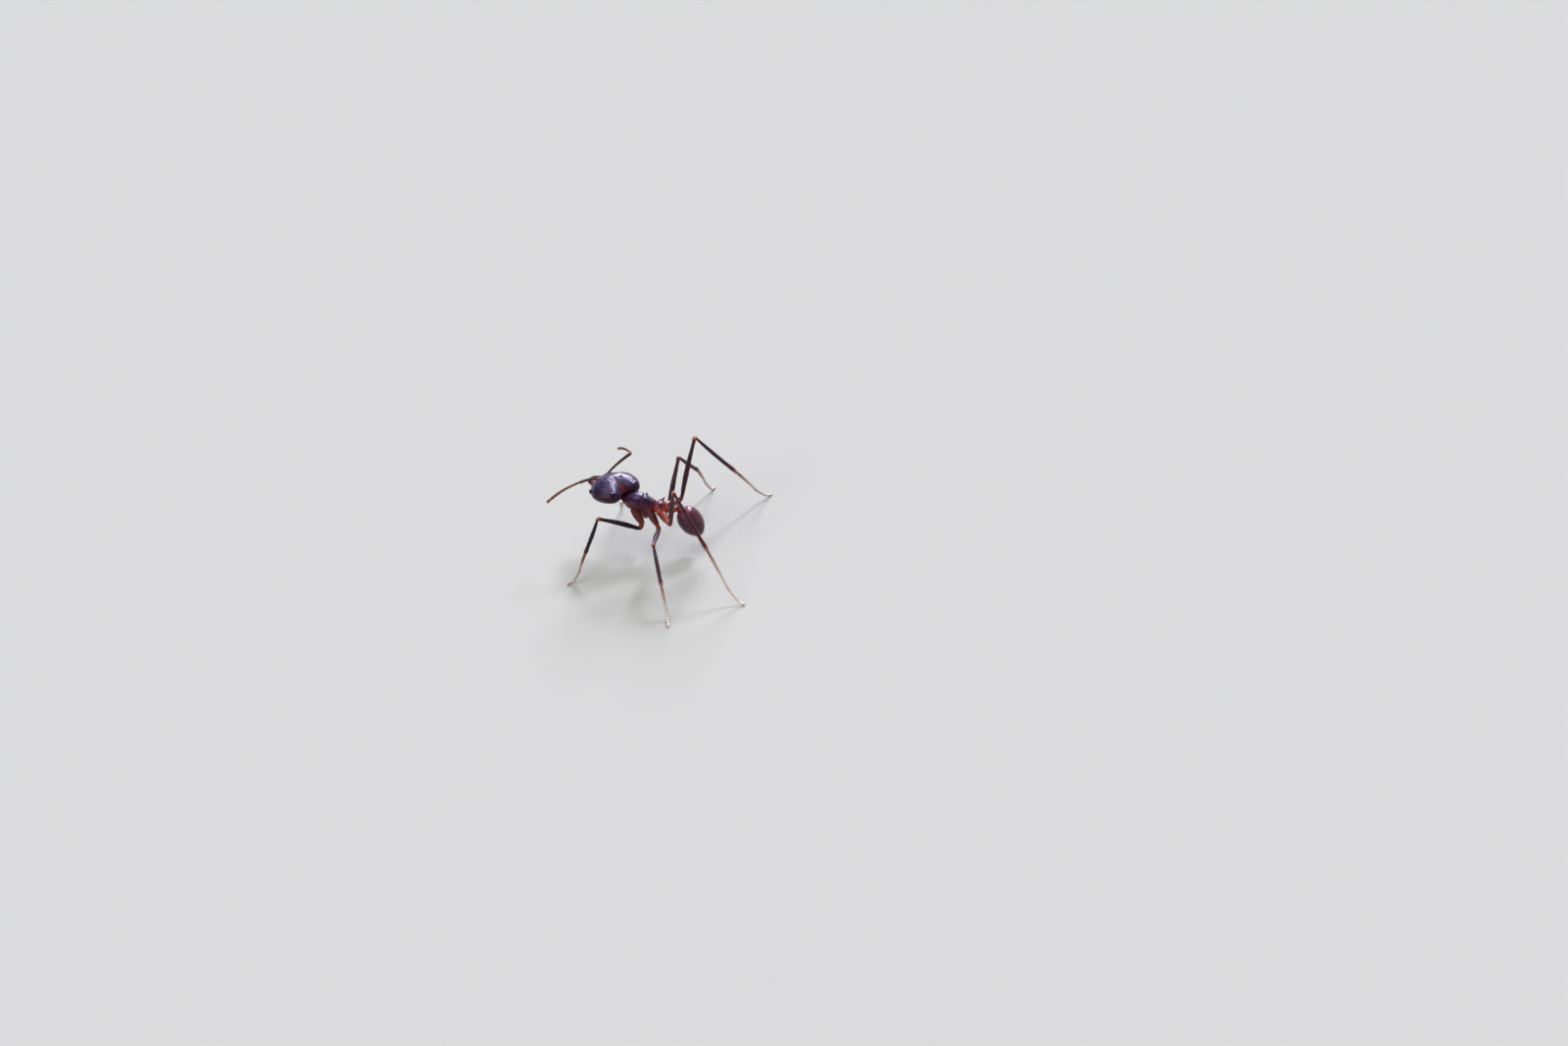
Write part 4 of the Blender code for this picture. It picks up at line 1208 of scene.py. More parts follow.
# %% Forms of the trunk
TRUNK_TURN = np.stack([(1.0, 0.0, 0.0), (0.0, math.sin(TRUNK_PITCH), math.cos(TRUNK_PITCH)),
                       (0.0, math.cos(TRUNK_PITCH), -math.sin(TRUNK_PITCH))], 1)
TRUNK_SHARE = 0.965                 # the skin lies a little inside the solid
SPINE_SPLAY, SPINE_BASE = math.radians(28.0), 0.13
SPINE_SINK = 0.84                   # share of the skin's height at which a spine starts
SPINE_TABLE = [(0, 1.7), (0.18, 1.05), (0.45, 0.62), (0.8, 0.32), (1, 0.10)]
SWELLINGS = (               # distance, how far out, how high; half sizes across, up and along
    (0.62, 0.36, -0.22, (0.17, 0.28, 0.34)), (1.18, 0.40, -0.16, (0.20, 0.30, 0.30)),
    (1.78, 0.34, -0.26, (0.20, 0.30, 0.42)), (2.80, 0.33, -0.20, (0.19, 0.24, 0.36)),
    (3.18, 0.26, -0.34, (0.12, 0.12, 0.16)), (0.98, 0.26, 0.44, (0.24, 0.18, 0.20)),
    (1.72, 0.20, 0.40, (0.20, 0.16, 0.26)),
)
HIP_REACH = {"front": 0.30, "middle": 0.34, "hind": 0.38}      # how far down the coxa a hip swells


def trunk_tube(rows=90, sides=72):
    """The plain trunk."""
    far = np.linspace(0, 1, rows) * TRUNK_LENGTH
    half_width, half_height, middle = smooth(TRUNK_SECTIONS, far).T
    across = np.outer(half_width * TRUNK_SHARE, np.cos(around(sides)))
    over = np.outer(half_height * TRUNK_SHARE, np.sin(around(sides))) + middle[:, None]
    return tube(trunk_point(np.repeat(far[:, None], sides, 1), across, over))


def spine(side, place, spacing, length, lean):
    """A thorn with a wide foot that runs out into the shell."""
    across, over, rear = TRUNK_TURN.T
    half_width, half_height, middle = smooth(TRUNK_SECTIONS, place)[0]
    rise = math.sqrt(1 - (spacing / half_width) ** 2) * half_height
    foot = trunk_point(place, side * spacing, middle + rise * SPINE_SINK)
    tilt = math.radians(lean)
    axis = unit(over * math.cos(SPINE_SPLAY) * math.cos(tilt)
                + across * side * math.sin(SPINE_SPLAY) + rear * math.sin(tilt))
    t = stations(24)
    radii = SPINE_BASE * smooth(SPINE_TABLE, t)[:, 0] * rounded(t, 0.02, 0.06)
    return tube(sweep(foot + np.outer(t, axis) * length, radii, 20, guide=(0.1, 1, 0)))


def hip(side_name, which):
    """The swelling of the trunk round the root of a coxa."""
    joints = leg_joints(side_name, which)
    along = np.outer((0.0, 0.10, 0.20, HIP_REACH[which]), unit(joints[1] - joints[0]))
    return tube(sweep(joints[0] + along, (0.30, 0.37, 0.36, 0.30), 20))


print("forms of the trunk: a tube,", 2 * len(SPINES), "spines,", 2 * len(SWELLINGS), "swellings and 6 hips")

# %% The fused skin of the trunk
TRUNK_VOXEL, TRUNK_ROUNDS = 0.024, 9


def trunk_skin():
    """All the trunk's forms fused."""
    forms = [trunk_tube()]
    forms += [spine(side, *sizes) for sizes in SPINES.values() for side in SIDES.values()]
    forms += [ball(trunk_point(place, side * out, height), sizes, TRUNK_TURN)
              for side in SIDES.values() for place, out, height, sizes in SWELLINGS]
    forms += [hip(side_name, which) for side_name in SIDES for which in HIP_REACH]
    return fuse(forms, TRUNK_VOXEL, TRUNK_ROUNDS)


skin = trunk_skin()
print("trunk skin:", len(skin.points), "vertices")

# %% Grooves, dents and tones of the trunk
def in_trunk(points):
    """Distance from the front end, side and height of places on the trunk."""
    local = (points - trunk_point(0.0)) @ TRUNK_TURN
    return local[:, 2], local[:, 0], local[:, 1]


def trunk_root(far, out, high):
    """Places on the trunk's unrolled skin."""
    return np.stack([share_round(out, high), far / TRUNK_LENGTH], -1)


def trunk_relief(shape):
    """Presses the seams in and gives the skin its tones, hair and unrolled places."""
    far, out, high = in_trunk(shape.points)
    side = np.abs(out)
    front_seam = far - PRONOTUM_END - 0.22 * (high - 0.3)
    rear_seam = far - MESONOTUM_END
    flank_seam = bell(high + 0.02 - 0.12 * np.sin(3.0 * far), 0.035) * step(side, 0.22, 0.36)
    back_line = bell(out, 0.05) * step(high, 0.2, 0.4) * bell(far - 1.75, 0.55)
    back_seam = bell(far - 1.98, 0.05) * step(-high, -0.05, 0.2)
    rear_hollow = bell(out, 0.10) * bell(far - 2.75, 0.20) * step(high, 0.0, 0.3)
    rear_pore = bell(np.hypot(far - 2.60, high - 0.02), 0.05) * step(side, 0.3, 0.42)
    front_pore = bell(np.hypot(far - 0.95, high + 0.05), 0.05) * step(side, 0.45, 0.6)
    depth = (0.050 * bell(front_seam, 0.035) + 0.070 * bell(rear_seam, 0.055)
             + 0.030 * (flank_seam * step(far, 0.3, 0.6) + back_seam)
             + 0.025 * (back_line + front_pore) + 0.020 * rear_hollow + 0.035 * rear_pore)
    shape.points = shape.points - normals(shape) * depth[:, None]
    # Painted sky reflection: the low tone on top gives the painted violet of the first colour; lower down
    # the tone rises to maroon, and towards the rear to orange.
    shape.tone = (0.08 + 0.42 * step(-high, -0.55, 0.10) + 0.46 * step(far, 2.0, 3.1)
                  + 0.18 * bell(front_seam, 0.06) + 0.22 * bell(rear_seam, 0.10)
                  + 0.20 * step(far, 3.1, 3.45))
    shape.lie = unit(np.array((0.0, 1.0, -0.35)) + 0.3 * (shape.points - trunk_point(far, 0.0, 0.0)))
    shape.coat = 0.25 + 0.75 * step(high, -0.2, 0.3)
    shape.root = trunk_root(far, out, high)
    return shape


trunk = trunk_relief(skin)
print("tones of the trunk:", round(trunk.tone.min(), 2), "to", round(trunk.tone.max(), 2))

# %% The three plates
PLATE_GAP = 0.024


def cut_off(mesh, place, sign):
    """Cuts a mesh across the trunk, keeps one side of it and closes the cut."""
    everything = mesh.verts[:] + mesh.edges[:] + mesh.faces[:]
    cut = bmesh.ops.bisect_plane(mesh, geom=everything, dist=1e-7, plane_co=trunk_point(place),
                                 plane_no=TRUNK_TURN[:, 2] * sign, clear_outer=True)
    rim = [item for item in cut["geom_cut"] if isinstance(item, bmesh.types.BMEdge)]
    bmesh.ops.holes_fill(mesh, edges=rim, sides=0)


def between(shape, start, end):
    """The part of a skin between two distances along the trunk."""
    piece = shape.object("part")
    mesh = bmesh.new()
    mesh.from_mesh(piece.data)
    for place, sign in ((start, -1.0), (end, 1.0)):
        if place is not None:
            cut_off(mesh, place, sign)
    mesh.verts.index_update()
    numbers, vectors = mesh.verts.layers.float, mesh.verts.layers.float_vector
    tone, coat = (np.array([v[numbers[key]] for v in mesh.verts]) for key in ("tone", "coat"))
    lie = np.array([v[vectors["lie"]][:] for v in mesh.verts])
    points = np.array([v.co[:] for v in mesh.verts])
    faces = [tuple(v.index for v in f.verts) for f in mesh.faces]
    mesh.free()
    bpy.data.objects.remove(piece)
    return Shape(points, faces, tone, lie, coat, trunk_root(*in_trunk(points)))


PLATES = {
    "pronotum": (None, PRONOTUM_END - PLATE_GAP / 2),
    "mesonotum": (PRONOTUM_END + PLATE_GAP / 2, MESONOTUM_END - PLATE_GAP / 2),
    "propodeum": (MESONOTUM_END + PLATE_GAP / 2, None),
}
for name, ends in PLATES.items():
    present(name + "_plate", between(trunk, *ends), TRUNK_SHELL, "trunk_shell", name)
    print(name, len(skins[name + "_plate"].faces), "faces")

# %% [markdown]
# ## Neck and waist
# Behind the head is a short collar of shell, and behind the trunk two red knots make the narrow
# waist that lets the ant fold its gaster. Each knot is a thin stalk that swells to a low hump with
# two blunt teeth. They are fused as the trunk was.

# %% Petiole and postpetiole
TRUNK_REAR = trunk_point(TRUNK_LENGTH, 0.0, TRUNK_SECTIONS[-1][3])
WAIST_ENDS = np.cumsum([TRUNK_REAR, PETIOLE_STEP, POSTPETIOLE_STEP], axis=0)
KNOTS = {"petiole": (0.35, 0.19, 0.20), "postpetiole": (0.41, 0.19, 0.22)}     # hump, base and tip
STALK_ENDS = (-0.12, 1.12)          # the stalk reaches into its neighbours
KNOT_VOXEL, KNOT_ROUNDS = 0.020, 7


def knot_forms(start, end, turn, hump, base, tip):
    """A stalk from start to end with a hump, two teeth and a keel over its later half."""
    axis, up, length = turn[:, 2], turn[:, 1], np.linalg.norm(end - start)
    t = np.linspace(*STALK_ENDS, 30)
    table = [(STALK_ENDS[0], base), (0.15, base * 0.92), (0.6, hump * 0.78), (1.0, tip),
             (STALK_ENDS[1], tip)]
    middle = start + axis * length * 0.56
    teeth = [ball(middle + turn @ (side * hump * 0.55, hump * 0.62, 0.0), (0.07, 0.12, 0.09), turn)
             for side in SIDES.values()]
    return [tube(sweep(start + np.outer(t, end - start), smooth(table, t)[:, 0], 24)),
            ball(middle + up * 0.06, (hump * 0.98, hump * 0.84, length * 0.30), turn), *teeth,
            ball(middle - up * hump * 0.55, (0.10, 0.12, length * 0.25), turn)]


def knot(start, end, *sizes):
    """One knot of the waist, with its tones and hair."""
    axis = unit(end - start)
    across = unit(np.cross((0.0, 0.0, 1.0), axis))
    turn = np.stack([across, np.cross(axis, across), axis], 1)
    made = fuse(knot_forms(start, end, turn, *sizes), KNOT_VOXEL, KNOT_ROUNDS)
    out, high, far = ((made.points - start) @ turn).T
    share = far / np.linalg.norm(end - start)
    made.tone = (0.42 + 0.30 * bell(share, 0.22) + 0.30 * bell(share - 1, 0.2)
                 - 0.22 * step(high, 0.05, 0.35))
    made.lie = unit(axis + 0.8 * (made.points - start - np.outer(far, axis)))
    made.coat = np.full(len(made.points), 0.8)
    made.root = np.stack([share_round(out, high), np.clip(share, 0, 1)], -1)
    return made


for name, start, end in zip(KNOTS, WAIST_ENDS, WAIST_ENDS[1:]):
    present(name + "_knot", knot(start, end, *KNOTS[name]), RED_SHELL, "red_shell", name)
    print(name, len(skins[name + "_knot"].faces), "faces")

# %% Neck
COLLAR_RINGS = 6


def collar():
    """A ringed collar that widens towards the trunk."""
    front = in_ant(np.array((0.0, 0.2, -0.3)))
    rear = trunk_point(0.06, 0.0, TRUNK_SECTIONS[0][3])
    t = np.linspace(0, 1, 40)
    ripple = 0.010 * np.cos(2 * np.pi * COLLAR_RINGS * t) * step(t, 0.5, 0.6)
    radii = 0.20 + 0.07 * step(t, 0.55, 0.95) + ripple
    return tube(sweep(front + np.outer(t, rear - front), radii, 28), 0.30, 0.3)


present("neck_collar", collar(), TRUNK_SHELL, "trunk_shell", "neck")
print("neck:", len(skins["neck_collar"].faces), "faces")

# %% [markdown]
# ## Gaster
# The gaster is the round rear body. Its first ring is the largest by far, and the next ones slide
# under it like the tubes of a telescope. Each ring here starts hidden and narrower under the one
# before it and ends in a soft rim, with a thin paler edge where the shell is thin. The last
# ring closes round the sting.

# %% Gaster rings
HINGE = WAIST_ENDS[2]
GASTER_AXIS = np.array((0.0, math.cos(GASTER_DROOP), -math.sin(GASTER_DROOP)))
GASTER_TURN = np.stack([(1.0, 0.0, 0.0), np.cross((1.0, 0.0, 0.0), GASTER_AXIS), GASTER_AXIS], 1)
GASTER_SHARE = 0.985                # the rings lie a little inside the solid
RING_TUCK, RING_SINK = 0.14, 0.045  # how far a ring reaches under the one before, and how deep
RIM_SWELL, RIM_TURN = 0.012, 0.20   # how much the rim swells, and how much it then turns in


def gaster_ring(low, high, rows=64, sides=96):
    """One ring: it starts under the ring before and turns in at its rear rim."""
    first, last = low <= 0.0, high >= GASTER_CUTS[-1]
    start = low if first else low - RING_TUCK
    far = start + (high - start) * np.linspace(0, 1, rows)
    sizes = smooth(GASTER_SECTIONS, np.clip(far, 0.0, GASTER_CUTS[-1])) * GASTER_SHARE
    under = (1 - step(far, low - 0.02, low + 0.05)) * (0.0 if first else RING_SINK)
    rim = RIM_SWELL * bell(far - high + 0.03, 0.03)
    shrink = np.sqrt(1 - step(far, high - 0.025, high) ** 2 * (0.0 if last else RIM_TURN))
    turns = around(sides)
    dent = 1 + 0.006 * np.sin(3 * turns)[None, :] * step(far, 0.3, 0.9)[:, None]
    width, height = (((half - under + rim) * shrink)[:, None] * dent for half in sizes.T)
    rings = HINGE + np.stack([width * np.cos(turns), height * np.sin(turns),
                              np.repeat(far[:, None], sides, 1)], -1) @ GASTER_TURN.T
    tone = 0.12 + 0.40 * bell(far - high, 0.035) + 0.35 * (1 - step(far, 0.0, 0.35)) * first
    shape = tube(rings, tone, np.where(far > low + 0.02, 1.0, 0.0))
    out, up, along = ((shape.points - HINGE) @ GASTER_TURN).T
    # Painted light: the upper side of each ring is painted lighter and redder than its lower side.
    shape.tone += 0.14 * step(up, -0.6, 0.6)
    shape.lie = unit(shape.lie + 0.3 * unit(shape.points - HINGE - np.outer(along, GASTER_AXIS)))
    return shape


def sting_sheath():
    """The short blunt cone at the end of the last ring."""
    t = np.linspace(0, 1, 16)
    path = HINGE + np.outer(GASTER_CUTS[-1] - 0.08 + 0.14 * t, GASTER_AXIS)
    return tube(sweep(path, 0.07 * (1 - 0.85 * t), 16), 0.6, 1.0)


rings = [gaster_ring(*ends) for ends in zip(GASTER_CUTS, GASTER_CUTS[1:])]
rings[-1] = joined([rings[-1], sting_sheath()])
for number, ring in enumerate(rings, 1):
    present("gaster_ring_%d" % number, ring, GASTER_SHELL, "gaster_shell", "gaster_%d" % number)
print("gaster rings:", len(rings))

# %% [markdown]
# ## Legs
# Every leg has the same plan. The coxa is a fat cone in the hip, the trochanter a small bead, the
# femur the long strong lever, the tibia a straight shin with spurs at its end, and the tarsus a
# thin foot of five joints with two claws and a sticky pad. So one set of named thickness tables
# serves all six legs, and each leg only brings its own lengths, bends and painted light and shade,
# which makes its pieces a little darker or lighter than those of the other legs. Femur and tibia
# are dark with orange ends, where the shell is thin at the joints, and the tarsus pales towards
# the foot. The front feet are painted darkest and brownest, as painted shade.

# %% Thickness along a leg
# Each table gives the place along the segment and half its thickness there.
COXA_TABLE = [(0, 0.70), (0.2, 0.98), (0.42, 1.0), (0.7, 0.80), (0.90, 0.56), (1, 0.50)]
TROCHANTER_TABLE = [(0, 0.135), (0.25, 0.175), (0.6, 0.185), (0.85, 0.160), (1, 0.140)]
FEMUR_TABLE = [(0, 0.125), (0.05, 0.135), (0.16, 0.165), (0.38, 0.195), (0.65, 0.165), (0.85, 0.135),
               (0.92, 0.138), (0.97, 0.165), (1, 0.150)]
TIBIA_TABLE = [(0, 0.120), (0.025, 0.130), (0.06, 0.098), (0.12, 0.105), (0.45, 0.150), (0.80, 0.140),
               (0.96, 0.150), (1, 0.125)]
TARSUS_TABLE = [(0, 0.109), (0.05, 0.096), (0.2, 0.113), (0.9, 0.100), (0.97, 0.118), (1, 0.096)]
COXA_WIDTH = {"front": 0.36, "middle": 0.30, "hind": 0.32}     # its table gives shares of this
TOE_BEADS, TOE_WIDTHS, TOE_TONES = (1.0, 0.75, 0.62, 1.05), (0.088, 0.084, 0.080, 0.082), (0.65, 0.85)
print("half as thick as this at most:",
      *[max(row[1] for row in table) for table in (FEMUR_TABLE, TIBIA_TABLE, TARSUS_TABLE)], "mm")

# %% Bow and tone of the segments
SEGMENTS = {    # table, bow, rows, sides, overlap; plain tone; bands: place, width, how much paler
    "coxa": (COXA_TABLE, 0.03, 48, 40, 0.06, 0.50, ((1.0, 0.16, 0.42), (0.35, 0.25, -0.12))),
    "trochanter": (TROCHANTER_TABLE, 0.0, 24, 28, 0.07, 0.42, ((0.0, 0.25, 0.40), (1.0, 0.20, 0.35))),
    "femur": (FEMUR_TABLE, 0.07, 90, 28, 0.06, 0.10,
              ((0.0, 0.035, 0.62), (0.0, 0.14, 0.20), (1.0, 0.042, 0.88), (1.0, 0.15, 0.20))),
    "tibia": (TIBIA_TABLE, -0.04, 90, 26, 0.05, 0.10, ((0.0, 0.035, 0.92), (1.0, 0.055, 0.70))),
    "tarsus": (TARSUS_TABLE, 0.03, 60, 20, 0.03, 0.08, ((0.0, 0.05, 0.20), (1.0, 0.05, 0.20))),
}
PALING = {"tibia": (0.60, 1.0, 0.25), "tarsus": (0.0, 0.75, 0.66)}      # from, to, how much paler
# Painted light and shade of each leg: its pieces are made a little darker or lighter than the same pieces
# of the other legs.
COXA_PAINTED_LIGHTING = {"front": -0.10, "middle": -0.26, "hind": 0.10}
LONG_PAINTED_LIGHTING = {"front": -0.07, "middle": 0.02, "hind": 0.12}       # of femur and tibia
FOOT_PAINTED_LIGHTING = {"front": -0.26, "middle": 0.05, "hind": 0.0}        # of tarsus and foot


def segment(part, start, end, shade, wide=1.0):
    """One leg segment that reaches a little into its neighbours."""
    table, bow, rows, sides, overlap, plain, bands = SEGMENTS[part]
    axis = unit(end - start)
    path = bowed(start - axis * overlap, end + axis * overlap, bow, rows)
    t = stations(rows)
    close = overlap * 1.6 / np.linalg.norm(end - start)
    radii = smooth(table, t)[:, 0] * wide * rounded(t, close, close)
    # shade carries the leg's painted light and shade.
    tone = plain + shade + sum(paler * bell(t - place, width) for place, width, paler in bands)
    if part in PALING:
        begin, full, paler = PALING[part]
        tone = tone + paler * step(t, begin, full)
    return tube(sweep(path, radii, sides), tone, 1.0)


print("segments with bands:", *SEGMENTS)

# %% Spurs of the tibia
SPUR_RADIUS, SPUR_TONE = 0.024, 0.75
SPURS = {                   # sides of the spurs, length, how much they bend back towards the shin
    "front": ((0.0,), 0.44, 0.35), "middle": ((-1.0, 1.0), 0.34, 0.05), "hind": ((-1.0, 1.0), 0.34, 0.05),
}


def spur(place, axis, length, bend):
    """A curved spike."""
    t = stations(14)
    path = place + np.outer(t, axis) * length + np.outer(t ** 2, bend) * length
    return tube(sweep(path, SPUR_RADIUS * (1 - 0.92 * t) * rounded(t, 0.1, 0), 8), SPUR_TONE)


def spurs(knee, shin_end, which):
    """The spurs under the end of a tibia: one comb in front, pairs behind."""
    sides, length, bend = SPURS[which]
    shin = unit(shin_end - knee)
    across = unit(np.cross(shin, (0.0, 0.0, 1.0)))
    under = unit(np.cross(shin, across))
    under = under if under[2] < 0 else -under
    foot = shin_end - shin * 0.04 + under * 0.10
    return [spur(foot + across * s * 0.05, unit(shin + under * 0.35), length, -under * bend) for s in sides]


print("spurs on six legs:", 2 * sum(len(sides) for sides, length, bend in SPURS.values()))

# %% Claws and pad
TIP_HEIGHT = 0.098                  # middle of the last joint's end over the floor
CLAW_LENGTH, CLAW_RADIUS, CLAW_SPLAY = 0.20, 0.024, (0.72, 0.62)       # ahead and sideways
CLAW_END, PAD_HEIGHT = 0.011, 0.034         # over the floor


def claws(tip, ahead, across):
    """Two hooked claws that reach the floor, and the pad between them."""
    forms = []
    t = stations(20)
    drop = (tip[2] - CLAW_END) * step(t, 0.1, 1.0) - 0.035 * np.sin(np.pi * t)
    for side in (-1.0, 1.0):
        out = np.outer(t * CLAW_LENGTH, ahead * CLAW_SPLAY[0] + across * side * CLAW_SPLAY[1])
        path = tip + across * side * 0.030 + out + np.outer(drop, (0.0, 0.0, -1.0))
        forms.append(tube(sweep(path, CLAW_RADIUS * (1 - 0.80 * t) * rounded(t, 0.1, 0.05), 10), 0.25))
    pad = tip + ahead * 0.055
    pad[2] = PAD_HEIGHT
    turn = np.stack((across, np.cross(ahead, across), ahead), 1)
    forms.append(ball(pad, (0.050, 0.034, 0.075), turn, rows=12, sides=14, tone=1.0))
    return joined(forms)


def foot(ball_of_foot, knuckle, tip, shade):
    """The last four joints of the tarsus with the claws. The hair stops short of the floor."""
    end = tip.copy()
    end[2] = TIP_HEIGHT
    ahead = unit((end - knuckle) * (1, 1, 0))
    toes = strung([ball_of_foot, knuckle, end], TOE_WIDTHS, TOE_BEADS, TARSUS_BEAD, TOE_TONES)
    made = joined([toes, claws(end, ahead, unit(np.cross((0.0, 0.0, 1.0), ahead)))])
    made.coat = made.coat * step(made.points[:, 2], 0.09, 0.17)
    # shade carries the leg's painted light and shade.
    made.tone += shade
    return made


print("claws end", CLAW_END, "mm over the floor")

# %% Six legs
def leg(side_name, which):
    """The six pieces of one leg by name, each with its finish and slot."""
    joints = leg_joints(side_name, which)
    root_place, coxa_end, thigh_start, knee, shin_end, ball_of_foot, knuckle, tip = joints
    coxa = segment("coxa", root_place, coxa_end, COXA_PAINTED_LIGHTING[which], COXA_WIDTH[which])
    tibia = segment("tibia", knee, shin_end, LONG_PAINTED_LIGHTING[which])
    return {
        "coxa": (coxa, RED_SHELL, "red_shell"),
        "trochanter": (segment("trochanter", coxa_end, thigh_start, 0.0), RED_SHELL, "red_shell"),
        "femur": (segment("femur", thigh_start, knee, LONG_PAINTED_LIGHTING[which]), LEG_SHELL, "leg"),
        "tibia": (joined([tibia, *spurs(knee, shin_end, which)]), LEG_SHELL, "leg"),
        "tarsus": (segment("tarsus", shin_end, ball_of_foot, FOOT_PAINTED_LIGHTING[which]), TARSUS_SHELL, "tarsus"),
        "foot": (foot(ball_of_foot, knuckle, tip, FOOT_PAINTED_LIGHTING[which]), TARSUS_SHELL, "tarsus"),
    }


for side_name, which in STANCE:
    for part, (shape, finish, slot) in leg(side_name, which).items():
        present("leg_%s_%s_%s" % (side_name, which, part), shape, finish, slot,
                "%s_%s_%s" % (part, side_name, which))
    print("leg", side_name, which, "claws reach down to", round(shape.points[:, 2].min(), 3), "mm")
for item in (FEELER_BEAD, TARSUS_BEAD):
    bpy.data.objects.remove(item)

# %% [markdown]
# ## Hair
# Under a lens an ant is bristly: stiff hairs stand on the head and gaster, short dark ones lie along
# the legs, and the feet are a pale brush. Geometry Nodes scatter roots over each skin, more where the
# skin's coat fact is high, and stand a thin three-sided spike on each. A spike leans over towards
# the skin's lie, bends at its tip and takes a random length, all from one fixed seed. The spikes
# are real mesh. Each one's patch on the map OFBake is three thousandths wide at its root's
# place on the unrolled skin, so that it is coloured as one small thing.

# %% One bristle
LENGTHS = (0.55, 1.15)              # shortest and longest hair as shares of the coat's length


def bristle(t, length, radius, curl):
    """A spike of three sides that bends towards its tip. Each vertex knows its place on the spike."""
    spike = t.out("GeometryNodeMeshCone", {"Vertices": 3, "Side Segments": 3, "Radius Top": 0.0,
                                           "Radius Bottom": 1.0, "Depth": 1.0}, "Mesh", fill_type="NGON")
    spot = t.out("GeometryNodeInputPosition")
    height = t.out("ShaderNodeSeparateXYZ", {"Vector": spot}, "Z")
    sag = t.math("MULTIPLY", t.math("POWER", height, 2.0), curl)
    drift = t.math("MULTIPLY", sag, t.math("DIVIDE", length, radius))
    told = t.store(spike, "strand_height", height, "FLOAT")
    told = t.store(told, "strand_place", spot, "FLOAT_VECTOR")
    return t.out("GeometryNodeSetPosition", {"Geometry": told, "Offset": t.combine(Y=drift)})


def leaning(t, normal, lean, ragged, seed):
    """A turn that stands a spike on the skin, leaning over towards the lie, each a little astray."""
    stray = t.add("FunctionNodeRandomValue", {"Seed": seed}, data_type="FLOAT_VECTOR")
    t.feed(stray.inputs["Min"], (-1.0, -1.0, -1.0))
    t.feed(stray.inputs["Max"], (1.0, 1.0, 1.0))
    lie = t.fact("lie")
    way = t.plus(t.plus(normal, t.scale(lie, lean)), t.scale(stray.outputs["Value"], ragged))
    return t.aim(lie, "Y", {"Rotation": t.aim(way)}, pivot_axis="Z")


print("hairs are", *LENGTHS, "times their coat's length")

# %% A tree that grows bristles
PATCH = 0.003                       # width of a hair's patch on the map


def mapped(t, hairs):
    """Hairs with their patches on the map OFBake."""
    across, along = (t.out("ShaderNodeSeparateXYZ", {"Vector": t.fact("strand_place")}, axis)
                     for axis in ("X", "Z"))
    place = t.plus(t.fact("root"), t.scale(t.combine(X=across, Y=along), PATCH))
    return t.store(hairs, "OFBake", place, "FLOAT2", "CORNER")


def bristle_tree():
    """Scatters thin bent spikes over a skin."""
    t = Tree("bristles")
    density, length, radius = t.size("Density"), t.size("Length"), t.size("Radius")
    lean, curl, ragged, seed = t.size("Lean"), t.size("Curl"), t.size("Ragged"), t.size("Seed", "Int")
    many = t.math("MULTIPLY", t.fact("coat", "FLOAT"), density)
    roots = t.add("GeometryNodeDistributePointsOnFaces",
                  {"Mesh": t.inputs["Geometry"], "Density": many, "Seed": seed}).outputs
    some = t.add("FunctionNodeRandomValue", {"Seed": seed, "ID": t.out("GeometryNodeInputIndex")},
                 data_type="FLOAT")
    for socket, value in zip((2, 3), LENGTHS):
        t.feed(some.inputs[socket], value)
    tall = t.math("MULTIPLY", some.outputs[1], length)
    turn = leaning(t, roots["Normal"], lean, ragged, seed)
    hairs = t.copies(roots["Points"], bristle(t, length, radius, curl), turn, radius, tall)
    return t.finish(mapped(t, hairs))


BRISTLES = bristle_tree()
print("nodes in the bristle tree:", len(BRISTLES.tree.nodes))

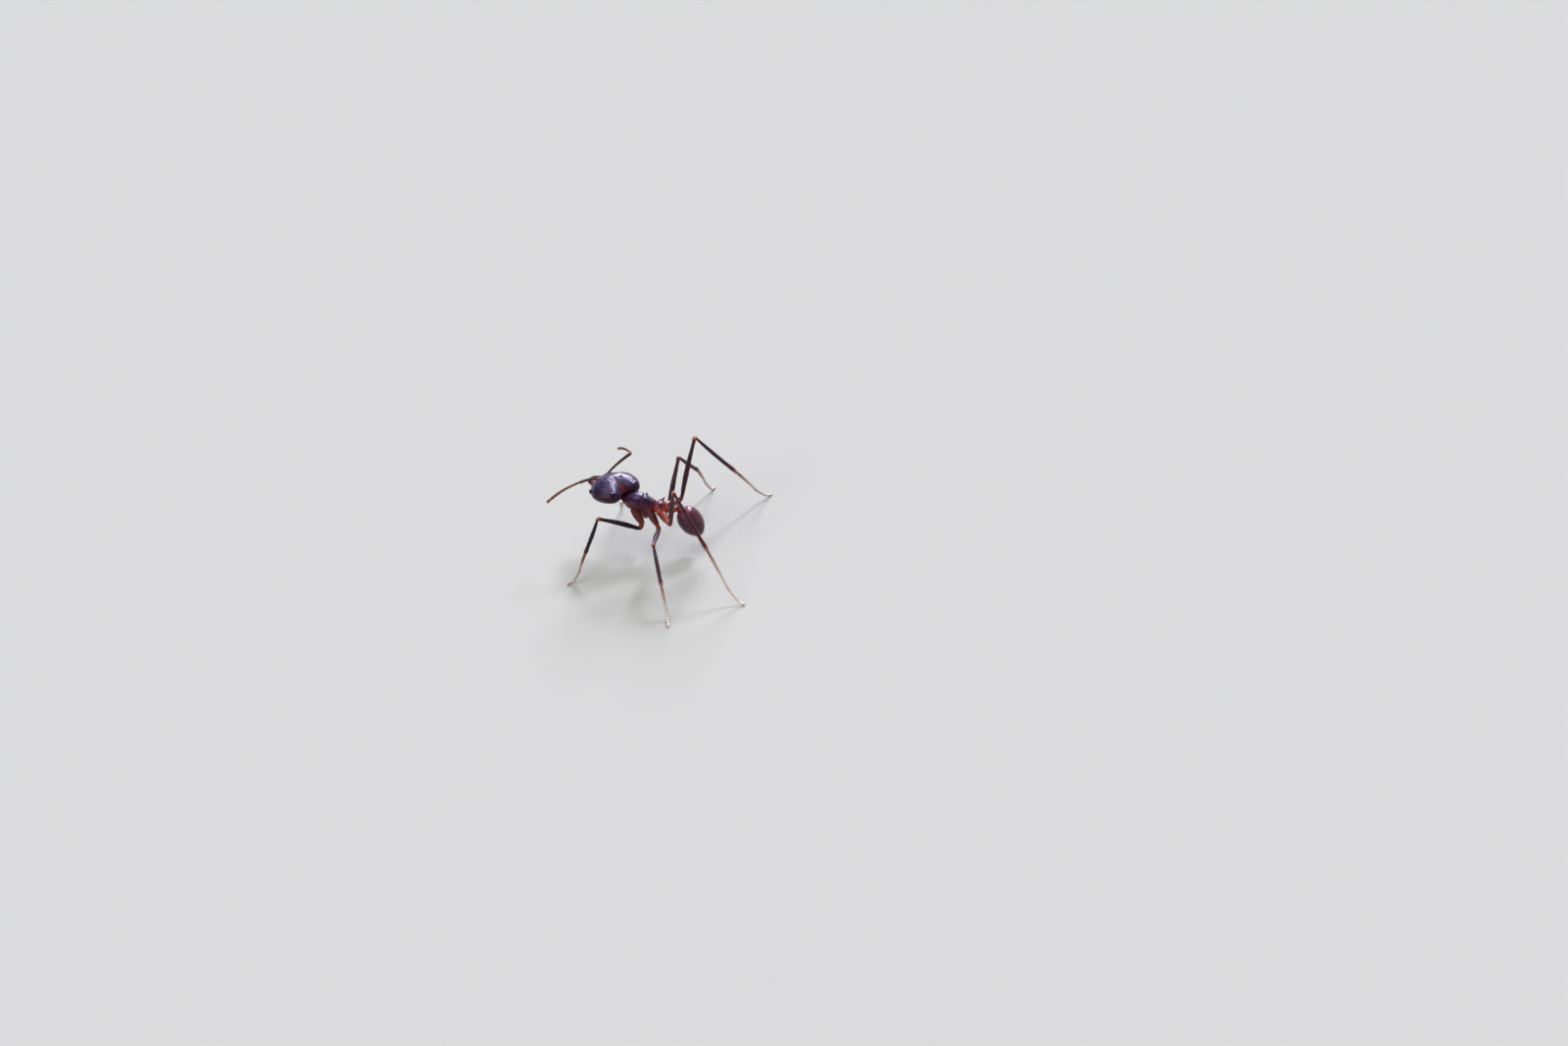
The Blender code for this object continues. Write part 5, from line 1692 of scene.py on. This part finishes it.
# %% Coats of hair
TILE_MARGIN = 0.03                  # each skin has its own tile of the map, with this edge
SHAPE_OF_HAIR = ("density", "length", "radius", "lean", "curl", "ragged", "seed")
COATS = {       # skins; finish; slot; density to the square millimetre and the rest as named above
    "hair_head": (["head_capsule"], GOLD_HAIR, "head_shell", (34.0, 0.17, 0.0065, 0.35, 0.25, 0.25, 11)),
    "hair_jaws": (["jaw_left", "jaw_right", "palps"], GOLD_HAIR, "jaw",
                  (60.0, 0.12, 0.006, 0.9, 0.3, 0.2, 12)),
    "hair_trunk": ([name + "_plate" for name in PLATES], GOLD_HAIR, "trunk_shell",
                   (75.0, 0.16, 0.0075, 0.45, 0.25, 0.25, 13)),
    "hair_waist": ([name + "_knot" for name in KNOTS], GOLD_HAIR, "red_shell",
                   (90.0, 0.14, 0.007, 0.5, 0.25, 0.25, 14)),
    "hair_gaster": (["gaster_ring_%d" % k for k in (1, 2, 3, 4)], GOLD_HAIR, "gaster_shell",
                    (95.0, 0.14, 0.006, 1.2, 0.25, 0.20, 15)),
}
for side_name in SIDES:
    limbs = [name for name in skins if name.startswith("leg_" + side_name)]
    lower = [name for name in limbs if name.endswith(("tarsus", "foot"))]
    upper = [name for name in limbs if name not in lower]
    feeler = ["scape_%s_club" % side_name, "feeler_%s_joints" % side_name]
    for limb, skins_of_it, finish, slot, sizes in (
            ("legs", upper, DARK_HAIR, "leg", (190.0, 0.11, 0.0065, 1.2, 0.2, 0.20, 16)),
            ("feet", lower, PALE_HAIR, "tarsus", (420.0, 0.085, 0.006, 1.0, 0.2, 0.20, 17)),
            ("feeler", feeler, GOLD_HAIR, "feeler", (330.0, 0.06, 0.005, 1.3, 0.2, 0.20, 18))):
        COATS["hair_%s_%s" % (limb, side_name)] = (skins_of_it, finish, slot, sizes)


def coat(names, finish, sizes):
    """The mesh of one coat over several skins."""
    columns = math.ceil(math.sqrt(len(names)))
    tiles = []
    for k, skin_name in enumerate(names):
        s = skins[skin_name]
        inset = np.clip(s.root, 0, 1) * (1 - 2 * TILE_MARGIN) + TILE_MARGIN
        root = (inset + (k % columns, k // columns)) / columns
        tiles.append(Shape(s.points, s.faces, s.tone, s.lie, s.coat, root))
    base = joined(tiles).object("skin")
    mesh = grown(base, BRISTLES, finish=finish, **dict(zip(SHAPE_OF_HAIR, sizes)))
    bpy.data.objects.remove(base)
    return mesh


for name, (names, finish, slot, sizes) in COATS.items():
    mesh = coat(names, finish, sizes)
    mesh.name = name
    dress(put(name, mesh), finish)
    triangles = sum(len(p.vertices) - 2 for p in mesh.polygons)
    print(name, "has", triangles, "triangles; map:", [u.name for u in mesh.uv_layers])

# %% [markdown]
